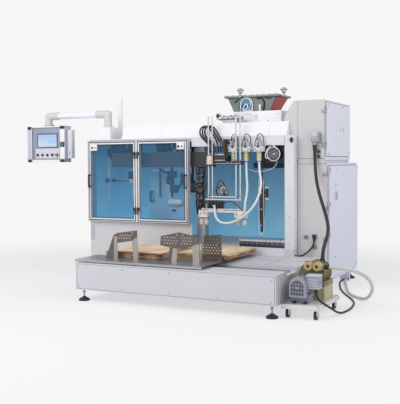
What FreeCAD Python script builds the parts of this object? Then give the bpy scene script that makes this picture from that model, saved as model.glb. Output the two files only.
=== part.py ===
import FreeCAD, Part
import math
import os
import re
import Sketcher

# Bag placing machine with guarded body, bag magazine, pendant panel and vacuum pump cart.
# Millimetres. Drawing axes: X from the left end of the low base, Y from its front face, Z from the floor.

doc = FreeCAD.newDocument("bag_placing_machine")

# Driving sizes
SIZES = {
    "mid_x": 395, "mid_y": 1367.5,
    # low base in front
    "base_len": 2200, "base_dep": 1358, "base_top": 400, "under": 120, "sheet": 3,
    "lip_dep": 286, "bed_dep": 281, "bed_deep": 40,
    "rail_wide": 24, "rail_high": 20, "rail_in": 50, "rail_gap": 150, "rail_front": 50,
    # feet
    "foot_in": 60, "pad_r": 55, "pad_thick": 12, "cone_high": 22, "stem_r": 8,
    # body behind the base
    "body_out": 763, "body_short": 310, "body_dep": 1100, "sill_top": 475, "panel_top": 708, "strip": 66,
    "beam_low": 1604, "beam_dep": 90, "roof_z": 1700, "roof_thick": 12, "tube": 40, "bay_left": 657, "bay_in": 108,
    "post_dep": 140, "post_edge": 10, "post_back": 130, "bay_post": 100, "sill_dep": 120,
    "comb_left": 1240, "comb_dep": 40, "comb_high": 84, "comb_step": 42, "comb_r": 15,
    # sloped hood
    "hood_left": -300, "hood_over": 89, "hood_high": 155, "hood_back": 105, "hood_short": 155,
    # guard doors
    "guard_left": -753, "guard_gap": 19, "guard_low": 712, "guard_high": 1690, "guard_dep": 55, "guard_wall": 12,
    "stile": 30, "mullion": 24, "door_gap": 6, "door_thick": 30, "knuckle_r": 8, "knuckle": 40, "axial": 0.3,
    "glass": 6, "glass_in": 12, "hinge_leaf": 30, "post_leaf": 18, "leaf_plate": 4, "hinge_low": 120,
    "grip_low": 395, "grip_high": 160, "grip_wide": 18, "grip_out": 42, "grip_bar": 14, "grip_foot": 16,
    "switch_wide": 93, "switch_high": 67, "switch_out": 14,
    # switch cabinets
    "cab_back": 112, "wing": 149, "wing_low": 189, "wing_mid": 49, "wing_top": 115, "upper_dep": 990,
    "upper_low": 1457, "upper_top": 2085, "shoulder": 85, "flange_out": 12, "flange_high": 17,
    "plinth_in": 10, "side_leaf": 12, "side_in": 30, "side_low": 23, "side_high": 585,
    "lower_out": 25, "lower_dep": 1220, "lower_top": 1406, "cab_wall": 3, "door_rim": 40, "room_gap": 22,
    "leaf": 20, "leaf_in": 30, "leaf_gap": 0.5, "pin_r": 7, "pin_out": 7.5, "pin_back": 8, "pin_long": 45,
    "lock_at": 250, "lock_low": 880, "lock_high": 95, "port_y": 2400,
    # hopper
    "hop_x": 1305, "hop_front": 1600, "hop_wide": 650, "hop_long": 400, "hop_low_wide": 440, "hop_low_long": 300,
    "hop_bottom": 1998, "hop_top": 2160, "hop_wall": 4, "hop_flange": 20, "hop_rim": 28,
    "collar_x": 1375, "collar_wide": 580, "collar_long": 330, "window_wide": 160, "window_thick": 12,
    "window_x": 1246, "window_rim": 16, "clamp_r": 28, "clamp_high": 100, "valve_y": 1500,
    # panel arm and pendant
    "arm_x": -565, "arm_y": 1480, "arm_z": 2028, "arm_reach": 915, "arm_r": 40, "elbow_r": 48, "sleeve_long": 165,
    "collar_r": 62,
    "mount_wide": 160, "mount_front": 80, "mount_dep": 260, "mount_top": 1860, "tower_x": -566, "tower_y": 1760,
    "tower_r": 28, "tower_high": 374,
    "pend_wide": 600, "pend_case_dep": 125, "pend_low": 1438, "pend_top": 1900, "pend_neck": 14, "column": 80,
    "column_out": 8, "bezel_left": 77, "bezel_wide": 330, "bezel_low": 182, "bezel_high": 189, "bezel_rim": 14,
    "bezel_out": 8, "keys_left": 51, "keys_wide": 380, "keys_low": 51, "keys_high": 128, "key_r": 14, "key_out": 14,
    "key_step": 78,
    # magazine shuttle
    "plate_left": -22, "plate_right": 1446, "plate_front": 17, "plate_top": 430, "plate_thick": 4,
    "strip_dep": 413, "deep_in": 122, "plate_back": 18, "plate_lip": 22, "carriage": 90, "carriage_side": 18,
    "run_gap": 0.5, "lift_off": 6, "guide_y": 240, "guide_thick": 3, "hole_r": 9,
    # picker
    "pick_y": 1300, "beam_left": -470, "linear_over": 243, "linear_low": 1368, "linear_high": 176,
    "linear_dep": 80, "head_left": 880, "head_wide": 438, "head_box": 250, "head_low": 1395, "head_high": 105, "head_out": 40,
    "fit": 0.5, "rod_top": 1660, "foot_plate": 12, "rail_left": 783, "rail_len": 587, "rail_low": 862,
    "bar_high": 20, "bar_dep": 50, "cup_r": 27, "cup_low": 716, "seat": 0.3,
    "filter_x": 1193, "filter_step": 153, "filter_wide": 105, "filter_top": 1600, "cap_high": 62, "bowl_r": 25,
    "bowl_high": 98, "blower_x": 1640, "blower_r": 76, "blower_dep": 90, "opener_x": 1499, "opener_y": 1420,
    "opener_low": 645, "opener_high": 595, "rig_y": 1700, "rig_left": -715, "rig_right": -350, "rig_low": 950,
    # vacuum pump cart
    "cart_gap": 15, "cart_y": 90, "deck_wide": 355, "deck_long": 660, "deck_top": 130, "deck_thick": 38,
    "deck_corner": 40, "caster_in": 45, "wheel_r": 40, "wheel_wide": 24, "trail": 18, "axle_r": 5, "pin_fit": 0.05,
    "motor_r": 88, "motor_up": 155, "motor_at": 20, "motor_long": 262, "motor_x": 146,
    "cowl_half": 75, "cowl_long": 60, "slit_step": 26, "slit_wide": 17, "fin_thick": 5, "fin_r": 98,
    "pump_x": 190, "pump_y": 282, "pump_long": 270, "pump_up": 238, "pump_r": 108, "block_y": 260,
}
sheet = doc.addObject("Spreadsheet::Sheet", "cfg")
for row, (word, value) in enumerate(SIZES.items(), 1):
    sheet.set("A%d" % row, word)
    sheet.set("B%d" % row, str(value))
    sheet.setAlias("B%d" % row, word)
doc.recompute()

# Sizes that follow others
TIED = {
    "body_left": "-body_out", "body_right": "base_len - body_short", "body_y": "base_dep + sheet",
    "body_wide": "body_right - body_left", "body_back": "body_y + body_dep", "bay_right": "body_right - bay_in",
    "open_high": "roof_z - sill_top", "roof_top": "roof_z + roof_thick", "hood_top": "roof_top + hood_high",
    "hood_right": "body_right - hood_over", "cab_y": "body_y + cab_back - sheet",
    "guard_right": "bay_left - guard_gap", "guard_y": "body_y - guard_dep", "guard_tall": "guard_high - guard_low",
    "guard_mid": "(guard_left + guard_right) / 2", "half": "(guard_right - guard_left - mullion) / 2 - guard_wall",
    "leaf_wide": "half - 2 * door_gap", "leaf_high": "guard_tall - 2 * guard_wall - 2 * door_gap",
    "leaf_low": "guard_low + guard_wall + door_gap", "lower_left": "body_right", "upper_right": "base_len",
    "lower_right": "base_len + lower_out", "lower_high": "lower_top - under", "pin_x": "lower_right + pin_out",
    "pin_y": "cab_y + pin_back", "cart_x": "base_len + cart_gap",
    "hop_high": "hop_top - hop_bottom", "fork_top": "deck_top - deck_thick - seat",
    "carriage_y": "lip_dep + rail_front - carriage_side", "plate_low": "plate_top - plate_thick",
    "linear_y": "body_y + post_back - linear_dep", "bed_z": "base_top - bed_deep",
    "head_back": "linear_y - pick_y",
}


# Every named size in an expression is read from the sheet
def words_for_sheet(words):
    def swap(found):
        word = found.group()
        if word in SIZES:
            return "cfg." + word
        return "(%s)" % words_for_sheet(TIED[word]) if word in TIED else word
    return re.sub(r"[a-z][a-z_0-9]*", swap, str(words))


def bind(obj, prop, words):
    obj.setExpression(prop, words_for_sheet(words))


def split(words):
    return [w.strip() for w in words.split(",")]


def put(obj, at):
    for axis, words in zip("xyz", split(at)):
        bind(obj, "Placement.Base." + axis, words)
    return obj


def box(name, at, size):
    obj = doc.addObject("Part::Box", name)
    for prop, words in zip(("Length", "Width", "Height"), split(size)):
        bind(obj, prop, words)
    return put(obj, at)


TURN = {"x": FreeCAD.Rotation(FreeCAD.Vector(0, 1, 0), 90), "y": FreeCAD.Rotation(FreeCAD.Vector(1, 0, 0), -90),
        "z": FreeCAD.Rotation()}


def rod(name, at, along, radius, length):
    obj = doc.addObject("Part::Cylinder", name)
    obj.Placement = FreeCAD.Placement(FreeCAD.Vector(), TURN[along])
    bind(obj, "Radius", radius)
    bind(obj, "Height", length)
    return put(obj, at)


def ball(name, at, radius):
    obj = doc.addObject("Part::Sphere", name)
    bind(obj, "Radius", radius)
    return put(obj, at)


def fuse(name, *parts):
    obj = doc.addObject("Part::MultiFuse", name)
    obj.Shapes = list(parts)
    obj.Refine = True
    return obj


def cut(name, base, *tools):
    obj = doc.addObject("Part::Cut", name)
    obj.Base = base
    obj.Tool = tools[0] if len(tools) == 1 else fuse(name + "_tools", *tools)
    obj.Refine = True
    return obj


# A closed outline on one of a body's own planes, each corner held to the sheet
def outline(body, plane, corners):
    sketch = body.newObject("Sketcher::SketchObject", body.Name + "_line")
    origin = [f for f in body.Origin.OriginFeatures if f.Role == plane.upper() + "_Plane"][0]
    sketch.AttachmentSupport = [(origin, "")]
    sketch.MapMode = "FlatFace"
    count = len(corners)
    guess = [FreeCAD.Vector(100 * math.cos(2 * math.pi * k / count), 100 * math.sin(2 * math.pi * k / count), 0)
             for k in range(count)]
    for k in range(count):
        sketch.addGeometry(Part.LineSegment(guess[k], guess[(k + 1) % count]))
    for k in range(count):
        sketch.addConstraint(Sketcher.Constraint("Coincident", k, 2, (k + 1) % count, 1))
    for k, corner in enumerate(corners):
        for kind, words in zip(("DistanceX", "DistanceY"), corner):
            held = sketch.addConstraint(Sketcher.Constraint(kind, -1, 1, k, 1, 1.0))
            bind(sketch, "Constraints[%d]" % held, words)
    return sketch


# A profile drawn out: along +X from yz, towards +Y from xz, up from xy
def drawn(name, plane, corners, length, at):
    body = doc.addObject("PartDesign::Body", name)
    pad = body.newObject("PartDesign::Pad", name + "_pad")
    pad.Profile = outline(body, plane, corners)
    pad.Reversed = plane == "xz"
    bind(pad, "Length", length)
    return put(body, at)


# A profile of radius and height turned round a standing axis
def turned(name, corners, at):
    body = doc.addObject("PartDesign::Body", name)
    line = outline(body, "xz", corners)
    ring = body.newObject("PartDesign::Revolution", name + "_turn")
    ring.Profile = line
    ring.ReferenceAxis = (line, ["V_Axis"])
    ring.Angle = 360
    return put(body, at)


NODES = []


def node(label, parts, at="0, 0, 0"):
    obj = doc.addObject("Part::Compound", label)
    obj.Links = parts if isinstance(parts, list) else [parts]
    x, y, z = split(at)
    put(obj, "%s - mid_x, %s - mid_y, %s" % (x, y, z))
    obj.Label = label
    NODES.append(obj)
    return obj


# Low base: folded lip in front, sunk rail bed, flat deck behind
section = [("0", "0"), ("base_dep", "0"), ("base_dep", "base_top - under"),
           ("lip_dep + bed_dep", "base_top - under"), ("lip_dep + bed_dep", "bed_z - under"),
           ("lip_dep", "bed_z - under"), ("lip_dep", "base_top - under"), ("0", "base_top - under")]
node("base_housing", drawn("housing_section", "yz", section, "base_len", "0, 0, under"))
node("guide_rails", [
    box("rail_%d" % k, "rail_in, lip_dep + rail_front + %d * rail_gap, bed_z" % k,
        "base_len - 2 * rail_in, rail_wide, rail_high") for k in (0, 1)])

# Levelling feet: domed pad, threaded stem
places = [("foot_in", "foot_in"), ("base_len - foot_in", "foot_in"),
          ("foot_in", "base_dep - foot_in"), ("base_len - foot_in", "base_dep - foot_in"),
          ("body_left + foot_in", "body_y + foot_in"), ("body_left + foot_in", "body_back - foot_in"),
          ("body_right - foot_in", "body_back - foot_in"),
          ("lower_right - foot_in", "cab_y + lower_dep - foot_in")]
foot_line = [("0", "0"), ("pad_r", "0"), ("pad_r", "pad_thick"), ("stem_r", "pad_thick + cone_high"),
             ("stem_r", "under"), ("0", "under")]
node("levelling_feet", [turned("foot_%d" % k, foot_line, "%s, %s, 0" % spot) for k, spot in enumerate(places, 1)])

# Body: lower housing, front panel, open frame, portal, sill
node("lower_housing", box("lower_block", "body_left, body_y, under", "body_wide, body_dep, sill_top - under"))
node("front_panel", box("front_sheet", "body_left + strip, base_dep, under",
                        "bay_left - body_left - strip, sheet, panel_top - under"))
corner = fuse("corner_frame",
              box("corner_post", "body_left, body_y, sill_top", "strip, tube, open_high"),
              box("header", "body_left, body_y, roof_z - tube", "bay_left - body_left, tube, tube"))
node("body_posts", [
    corner,
    box("post_rear_left", "body_left, body_back - tube, sill_top", "tube, tube, open_high"),
    box("post_rear_right", "body_right - tube, body_back - tube, sill_top", "tube, tube, open_high"),
    box("post_bay", "bay_left, body_y + post_back, sill_top", "bay_post, bay_post, open_high")])
post_line = [("0", "post_edge"), ("post_edge", "0"), ("bay_in - post_edge", "0"), ("bay_in", "post_edge"),
             ("bay_in", "post_dep"), ("0", "post_dep")]
node("portal_post", drawn("post_section", "xy", post_line, "open_high", "bay_right, body_y, sill_top"))
node("portal_beam", box("beam_box", "bay_left, body_y, beam_low",
                        "bay_right - bay_left, beam_dep, roof_z - beam_low - axial"))
sill_line = [("0", "0"), ("sheet", "0"), ("sheet", "sill_top - base_top"), ("sill_dep", "sill_top - base_top"),
             ("sill_dep", "sill_top - base_top + sheet"), ("0", "sill_top - base_top + sheet")]
sill = drawn("sill_section", "yz", sill_line, "bay_right - bay_left - post_back - bay_post",
             "bay_left + post_back + bay_post, body_y - sheet, base_top")
# Comb strip along the sill: round notches in a row hold the bag's lower edge
comb = cut("comb_shape",
           box("comb_bar", "comb_left, body_y + 24, sill_top + sheet", "bay_right - comb_left, comb_dep, comb_high"),
           *[rod("comb_notch_%d" % k, "comb_left + comb_step * %s, body_y, sill_top + sheet + comb_high" % (k + 0.5),
                 "y", "comb_r", "2 * comb_dep") for k in range(12)])
node("bay_sill", fuse("sill_shape", sill, comb))
node("roof_plate", box("roof", "body_left, body_y, roof_z", "body_wide, body_dep, roof_thick"))
node("blue_panels", [
    box("back_sheet", "body_left + tube, body_back - tube, sill_top", "body_wide - 2 * tube, glass, open_high"),
    box("end_sheet", "body_left + 5, body_y + tube, sill_top", "glass, body_dep - 3 * tube, open_high")])

# Hood: sloping front over the whole bay, cut back where the cabinet stands
slope = [("0", "0"), ("body_dep", "0"), ("body_dep", "hood_high"), ("hood_back", "hood_high")]
node("hood", cut("hood_shape", drawn("hood_section", "yz", slope, "hood_right - hood_left",
                                     "hood_left, body_y, roof_top"),
                 box("hood_corner", "body_right - hood_short, cab_y - 1, roof_top",
                     "body_wide, body_dep, hood_high + 1")))

# Guard frame and its two doors, hinged at the middle bar
frame = cut("guard_box", box("guard_outer", "guard_left, guard_y, guard_low",
                             "guard_right - guard_left, guard_dep, guard_tall"),
            box("guard_hole_l", "guard_left + guard_wall, guard_y, guard_low + guard_wall",
                "half, guard_dep, guard_tall - 2 * guard_wall"),
            box("guard_hole_r", "guard_mid + mullion / 2, guard_y, guard_low + guard_wall",
                "half, guard_dep, guard_tall - 2 * guard_wall"))
hinges = []
for side, sign in (("left", -1), ("right", 1)):
    start = "-leaf_wide" if sign < 0 else "0"
    hinge_x = "guard_mid + %d * (mullion / 2 + door_gap)" % sign
    at = "%s, guard_y, leaf_low" % hinge_x
    ring = cut(side + "_ring", box(side + "_outer", "%s, 0, 0" % start, "leaf_wide, door_thick, leaf_high"),
               box(side + "_inner", "%s + stile, 0, stile" % start,
                   "leaf_wide - 2 * stile, door_thick, leaf_high - 2 * stile"))
    pieces = []
    for n, low in enumerate(("hinge_low", "leaf_high - hinge_low - knuckle")):
        name = "%s_hinge_%d" % (side, n)
        below = "leaf_low + %s - knuckle - axial" % low
        pieces += [rod(name + "_door", "0, -knuckle_r, %s" % low, "z", "knuckle_r", "knuckle"),
                   box(name + "_leaf", "%s, -leaf_plate, %s" % ("-hinge_leaf" if sign < 0 else "0", low),
                       "hinge_leaf, leaf_plate, knuckle")]
        hinges += [rod(name + "_post", "%s, guard_y - knuckle_r, %s" % (hinge_x, below), "z", "knuckle_r", "knuckle"),
                   box(name + "_plate", "%s - %s, guard_y - leaf_plate, %s" % (
                       hinge_x, "0" if sign < 0 else "post_leaf", below), "post_leaf, leaf_plate, knuckle")]
    switch_x = "%s + stile" % start if sign < 0 else "leaf_wide - stile - switch_wide"
    pieces.append(box(side + "_switch", "%s, -switch_out, leaf_high - stile - switch_high" % switch_x,
                      "switch_wide, switch_out + door_thick / 3, switch_high + stile / 2"))
    node("door_%s_frame" % side, fuse(side + "_leaf", ring, *pieces), at)
    node("door_%s_glass" % side, box(side + "_pane", "%s + stile, glass_in, stile" % start,
                                     "leaf_wide - 2 * stile, glass, leaf_high - 2 * stile"), at)
    grip_x = "%s + (stile - grip_wide) / 2" % start if sign < 0 else "leaf_wide - (stile + grip_wide) / 2"
    grip_line = [("0", "0"), ("-grip_out", "0"), ("-grip_out", "grip_high"), ("0", "grip_high"),
                 ("0", "grip_high - grip_foot"), ("grip_bar - grip_out", "grip_high - grip_foot"),
                 ("grip_bar - grip_out", "grip_foot"), ("0", "grip_foot")]
    node("door_%s_handle" % side, drawn(side + "_grip", "yz", grip_line, "grip_wide", "%s, 0, grip_low" % grip_x), at)
node("guard_frame", fuse("guard_shape", frame, *hinges))

# Upper cabinet: shouldered top, wing over the hood, plinth with a flange on the lower cabinet
wing_x = "-(wing)"
upper_line = [(wing_x, "roof_top"), (wing_x, "roof_top + wing_low"), ("wing_mid - wing", "upper_top - shoulder"),
              ("wing_top - wing", "upper_top"), ("body_short", "upper_top"), ("body_short", "upper_low"),
              ("body_short + flange_out", "upper_low"), ("body_short + flange_out", "upper_low - flange_high"),
              ("body_short - plinth_in", "upper_low - flange_high"), ("body_short - plinth_in", "lower_top"),
              ("plinth_in", "lower_top"), ("plinth_in", "upper_low - flange_high"),
              ("0", "upper_low - flange_high"), ("0", "roof_top")]
node("upper_cabinet", drawn("upper_section", "xz", upper_line, "upper_dep", "body_right, cab_y, 0"))
side_line = [("0", "0"), ("side_leaf", "3"), ("side_leaf", "side_high - 3"), ("0", "side_high")]
side_pins = []
for n, z in enumerate(("98", "470")):
    side_pins.append(rod("side_pin_%d" % n, "side_leaf - 4.5, -pin_r, %s" % z, "z", "pin_r", "pin_long"))
side_lock = box("side_lock", "side_leaf, upper_dep * 0.66, side_high / 2", "10, 26, 40")
node("upper_cabinet_door",
     fuse("side_shape", drawn("side_section", "xz", side_line, "upper_dep - 2 * side_in", "0, 0, 0"),
          side_lock, *side_pins), "upper_right, cab_y + side_in, upper_low + side_low")

# Lower cabinet: open inside, side door on three hinges at the front edge
shell = cut("lower_shell",
            box("lower_case", "lower_left, cab_y, under", "lower_right - lower_left, lower_dep, lower_high"),
            box("lower_room", "lower_left + cab_wall, cab_y + cab_wall, under + cab_wall",
                "lower_right - lower_left - cab_wall - room_gap, lower_dep - 2 * cab_wall, lower_high - 2 * cab_wall"),
            box("lower_mouth", "lower_right - leaf_in, cab_y + door_rim, under + door_rim",
                "2 * leaf_in, lower_dep - 2 * door_rim, lower_high - 2 * door_rim"))
fixed, moving = [], []
for n, z in enumerate(("440", "780", "1150")):
    fixed += [rod("cab_pin_%d" % n, "pin_x, pin_y, under + %s" % z, "z", "pin_r", "pin_long"),
              box("cab_leaf_%d" % n, "lower_right, pin_y - 3, under + %s" % z, "pin_out, 6, pin_long")]
    moving += [rod("door_pin_%d" % n, "pin_out, pin_back, %s + pin_long + axial" % z, "z", "pin_r", "pin_long"),
               box("door_leaf_%d" % n, "pin_out + 2, pin_back, %s + pin_long + axial" % z,
                   "pin_r - 2, leaf_in - pin_back + 4, pin_long")]
port = box("cable_port", "lower_right - 120, port_y, 4", "112, 40, under - 4")
handle = drawn("rear_handle", "yz", [("0", "0"), ("45", "0"), ("45", "110"), ("0", "110"), ("0", "98"), ("33", "98"),
                                     ("33", "12"), ("0", "12")], "14",
               "lower_right - 30, cab_y + lower_dep, under + 910")
node("lower_cabinet", fuse("lower_shape", shell, port, handle, *fixed))
leaf_line = [("leaf_gap", "0"), ("leaf_gap + leaf - 4", "0"), ("leaf_gap + leaf", "4"),
             ("leaf_gap + leaf", "lower_high - 2 * leaf_in - 4"), ("leaf_gap + leaf - 4", "lower_high - 2 * leaf_in"),
             ("leaf_gap", "lower_high - 2 * leaf_in")]
node("lower_cabinet_door",
     fuse("lower_leaf", drawn("lower_leaf_section", "xz", leaf_line, "lower_dep - 2 * leaf_in", "0, leaf_in, leaf_in"),
          box("lower_lock", "leaf_gap + leaf, lock_at, lock_low", "14, 30, lock_high"), *moving),
     "lower_right, cab_y, under")

# Fittings on the fixed body: connector with its gland, knobs, sockets
node("body_fittings", [
    fuse("connector", box("connector_box", "upper_right - 127, cab_y - 70, 1631", "84, 70, 104"),
         rod("connector_gland", "upper_right - 98, cab_y - 38, 1600", "z", "21", "31")),
    rod("knob_0", "upper_right - 62, cab_y - 26, 1532", "y", "13", "26"),
    rod("knob_1", "upper_right - 62, cab_y - 26, 1480", "y", "13", "26"),
    box("socket_0", "lower_left + 180, cab_y - 30, 595", "40, 30, 40"),
    box("socket_1", "lower_left + 85, cab_y - 12, 590", "34, 12, 34"),
    box("socket_2", "lower_left + 183, cab_y - 12, 486", "34, 12, 34"),
    box("oval_knob", "body_right - 34, body_y - 14, 1630", "22, 14, 56")])


# Hopper with a flat front: tapered bin, rim, room inside
def bin_shape(name, low_w, low_back, top_w, top_back, front, high, at):
    obj = doc.addObject("Part::Wedge", name)
    for prop, words in (("Xmin", "-(%s) / 2" % low_w), ("Xmax", "(%s) / 2" % low_w), ("Zmin", "-(%s)" % low_back),
                        ("Zmax", "-(%s)" % front), ("X2min", "-(%s) / 2" % top_w), ("X2max", "(%s) / 2" % top_w),
                        ("Z2min", "-(%s)" % top_back), ("Z2max", "-(%s)" % front), ("Ymin", "0"), ("Ymax", high)):
        bind(obj, prop, words)
    obj.Placement = FreeCAD.Placement(FreeCAD.Vector(), FreeCAD.Rotation(FreeCAD.Vector(1, 0, 0), 90))
    return put(obj, at)


node("hopper", cut("hopper_cup",
                   fuse("hopper_full",
                        bin_shape("hopper_skin", "hop_low_wide", "hop_low_long", "hop_wide - 2 * hop_rim",
                                  "hop_long - hop_rim", "0", "hop_high", "0, 0, 0"),
                        box("hopper_rim", "-hop_wide / 2, -hop_rim, hop_high",
                            "hop_wide, hop_long + hop_rim, hop_flange")),
                   bin_shape("hopper_room", "hop_low_wide - 2 * hop_wall", "hop_low_long - hop_wall",
                             "hop_wide - 2 * hop_rim - 2 * hop_wall", "hop_long - hop_rim - hop_wall", "hop_wall",
                             "hop_high + 2 * hop_flange", "0, 0, hop_wall")), "hop_x, hop_front, hop_bottom")
arch = fuse("arch_outer", rod("arch_top", "0, -window_thick, window_wide / 2", "y", "window_wide / 2", "window_thick"),
            box("arch_foot", "-window_wide / 2, -window_thick, 0", "window_wide, window_thick, window_wide / 2"))
arch_hole = fuse("arch_hole",
                 rod("arch_hole_top", "0, -window_thick, window_wide / 2", "y", "window_wide / 2 - window_rim",
                     "window_thick / 2"),
                 box("arch_hole_foot", "window_rim - window_wide / 2, -window_thick, window_rim",
                     "window_wide - 2 * window_rim, window_thick / 2, window_wide / 2 - window_rim"))
window = put(cut("arch", arch, arch_hole), "window_x - hop_x, 0, 0")
clamp_line = [("0", "0"), ("clamp_r / 3", "0"), ("clamp_r / 3", "clamp_high / 3"), ("clamp_r", "clamp_high / 2"),
              ("clamp_r", "clamp_high * 0.85"), ("clamp_r / 2", "clamp_high"), ("0", "clamp_high")]
clamps = [fuse("clamp_front", turned("clamp_head_front", clamp_line,
                                     "211 - hop_wide / 2, -hop_rim - clamp_r - 2, hop_high"),
               box("clamp_foot_front", "211 - hop_wide / 2 - clamp_r / 2, -hop_rim - clamp_r - 8, hop_high",
                   "clamp_r, clamp_r + 8, hop_flange")),
          fuse("clamp_side", turned("clamp_head_side", clamp_line, "hop_wide / 2 + clamp_r + 2, 89, hop_high"),
               box("clamp_foot_side", "hop_wide / 2, 89 - clamp_r / 2, hop_high",
                   "clamp_r + 8, clamp_r, hop_flange"))]
node("hopper_fittings", [window] + clamps, "hop_x, hop_front, hop_bottom")
node("inlet_valve", fuse("valve_shape", box("valve_block", "1000, valve_y - 25, hood_top", "180, 50, 34"),
                         rod("valve_body", "950, valve_y, hood_top + 56", "x", "24", "253"),
                         box("valve_grip", "916, valve_y - 12, hood_top + 44", "44, 24, 65")))
node("roof_boxes", [
    box("hopper_collar", "collar_x - collar_wide / 2, hop_front - 15, hood_top",
        "collar_wide, collar_long + 15, hop_bottom - hood_top"),
    box("arm_mount", "arm_x - mount_wide / 2, arm_y - mount_front, roof_top",
        "mount_wide, mount_dep, mount_top - roof_top"),
    rod("tower", "tower_x, tower_y, roof_top", "z", "tower_r", "tower_high + hood_high")])

# Pendant panel: elbowed tube, case with two side columns, screen, keys
node("panel_arm", fuse("arm_shape",
                       rod("arm_foot", "0, 0, mount_top + axial - arm_z", "z", "collar_r", "16"),
                       rod("arm_stem", "0, 0, mount_top + axial - arm_z", "z", "elbow_r",
                           "arm_z - mount_top - axial"),
                       rod("arm_pipe", "-arm_reach, 0, 0", "x", "arm_r", "arm_reach"),
                       rod("arm_sleeve_right", "-sleeve_long, 0, 0", "x", "elbow_r", "sleeve_long"),
                       rod("arm_sleeve_left", "-arm_reach, 0, 0", "x", "elbow_r", "sleeve_long"),
                       ball("arm_ball_right", "0, 0, 0", "elbow_r"),
                       ball("arm_ball_left", "-arm_reach, 0, 0", "elbow_r"),
                       rod("arm_drop", "-arm_reach, 0, pend_top + pend_neck + axial - arm_z", "z", "elbow_r",
                           "arm_z - pend_top - pend_neck - axial")), "arm_x, arm_y, arm_z")
pend_at = "arm_x - arm_reach, arm_y, pend_low"
pend_left, pend_front = "-pend_wide / 2", "-pend_case_dep / 2"
column_line = [("0", "0"), ("column", "0"), ("column", "pend_case_dep + column_out"),
               ("column / 2", "pend_case_dep + 2 * column_out"), ("0", "pend_case_dep + column_out")]
node("pendant_case", fuse(
    "pendant_shape",
    box("pendant_box", "%s, %s, 0" % (pend_left, pend_front), "pend_wide, pend_case_dep, pend_top - pend_low"),
    *([drawn("column_%d" % k, "xy", column_line, "pend_top - pend_low",
             "%s, %s - column_out, 0" % (x, pend_front))
       for k, x in enumerate((pend_left, "pend_wide / 2 - column"))] +
      [rod("pendant_neck", "0, 0, pend_top - pend_low", "z", "collar_r", "pend_neck")])), pend_at)
node("pendant_screen", cut(
    "screen_shape",
    box("bezel", "%s + bezel_left + column, %s - bezel_out, bezel_low" % (pend_left, pend_front),
        "bezel_wide, bezel_out, bezel_high"),
    box("screen_recess", "%s + bezel_left + column + bezel_rim, %s - bezel_out, bezel_low + bezel_rim" % (
        pend_left, pend_front), "bezel_wide - 2 * bezel_rim, bezel_out / 4, bezel_high - 2 * bezel_rim")), pend_at)
node("pendant_buttons", fuse(
    "keys_shape",
    box("keys_plate", "%s + column + keys_left, %s - 4, keys_low" % (pend_left, pend_front),
        "keys_wide, 4, keys_high"),
    *[rod("key_%d" % k, "%s + column + keys_left + 34 + %d * key_step, %s - key_out - 4, keys_low + 42" % (
        pend_left, k, pend_front), "y", "key_r", "key_out") for k in range(5)]), pend_at)

# Magazine shuttle: folded plate on four rail carriages, bag guides, bags
plate_line = [("0", "0"), ("plate_right - plate_left", "0"),
              ("plate_right - plate_left", "base_dep - plate_back - plate_front"),
              ("deep_in", "base_dep - plate_back - plate_front"), ("deep_in", "strip_dep"), ("0", "strip_dep")]
node("magazine_plate",
     fuse("plate_shape", drawn("plate_outline", "xy", plate_line, "plate_thick", "0, 0, 0"),
          box("plate_fold", "0, 0, plate_thick - plate_lip",
              "plate_right - plate_left, plate_thick, plate_lip - plate_thick")),
     "plate_left, plate_front, plate_low")
blocks = []
for k in (0, 1):
    for n, x in enumerate(("222", "1172")):
        name = "bearing_%d%d" % (k, n)
        low = "bed_z + lift_off"
        whole = box(name + "_block", "plate_left + %s, carriage_y + %d * rail_gap, %s" % (x, k, low),
                    "carriage, rail_wide + 2 * carriage_side, plate_low - bed_z - lift_off")
        slot = box(name + "_slot", "plate_left + %s, lip_dep + rail_front + %d * rail_gap - run_gap, bed_z" % (x, k),
                   "carriage, rail_wide + 2 * run_gap, rail_high + run_gap")
        blocks.append(cut(name, whole, slot))
node("rail_carriages", blocks)


def bag_guide(name, corners, holes, at):
    plate = drawn(name + "_plate", "xz", corners, "guide_thick", "0, 0, 0")
    drills = [rod("%s_hole_%d" % (name, k), "%d, -guide_thick, %d" % spot, "y", "hole_r", "3 * guide_thick")
              for k, spot in enumerate(holes)]
    return put(cut(name, plate, *drills), at)


node("bag_guides", [
    bag_guide("guide_a", [("0", "0"), ("149", "0"), ("145", "162"), ("322", "192"), ("339", "0"), ("393", "0"),
                          ("384", "301"), ("141", "266"), ("97", "243")],
              [(180, 215), (230, 222), (285, 235), (335, 245)], "plate_left + 236, guide_y, plate_top"),
    bag_guide("guide_b", [("91", "0"), ("187", "0"), ("206", "133"), ("363", "160"), ("372", "0"), ("444", "0"),
                          ("430", "262"), ("219", "300"), ("12", "255"), ("0", "164"), ("110", "146")],
              [(60, 205), (130, 215), (250, 215), (340, 225)], "plate_left + 890, guide_y, plate_top"),
    bag_guide("guide_c", [("0", "0"), ("253", "0"), ("249", "271"), ("53", "249")],
              [(75, 200), (150, 210), (70, 120), (150, 120)], "plate_left + 1210, guide_y + 240, plate_top")])


def bag_pile(name, long, wide, high, at):
    ends = [("0", "4"), ("%s * 0.1" % long, "0"), ("%s * 0.9" % long, "0"), (long, "4"), (long, "%s - 12" % high),
            ("%s * 0.94" % long, high), ("%s * 0.05" % long, high), ("0", "%s - 14" % high)]
    return drawn(name, "xz", ends, wide, at)


node("bag_stacks", [bag_pile("pile_a", "700", "740", "66", "plate_left + 152, 320, plate_top + seat"),
                    bag_pile("pile_b", "640", "800", "60", "plate_left + 890, 500, plate_top + seat")])

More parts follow.
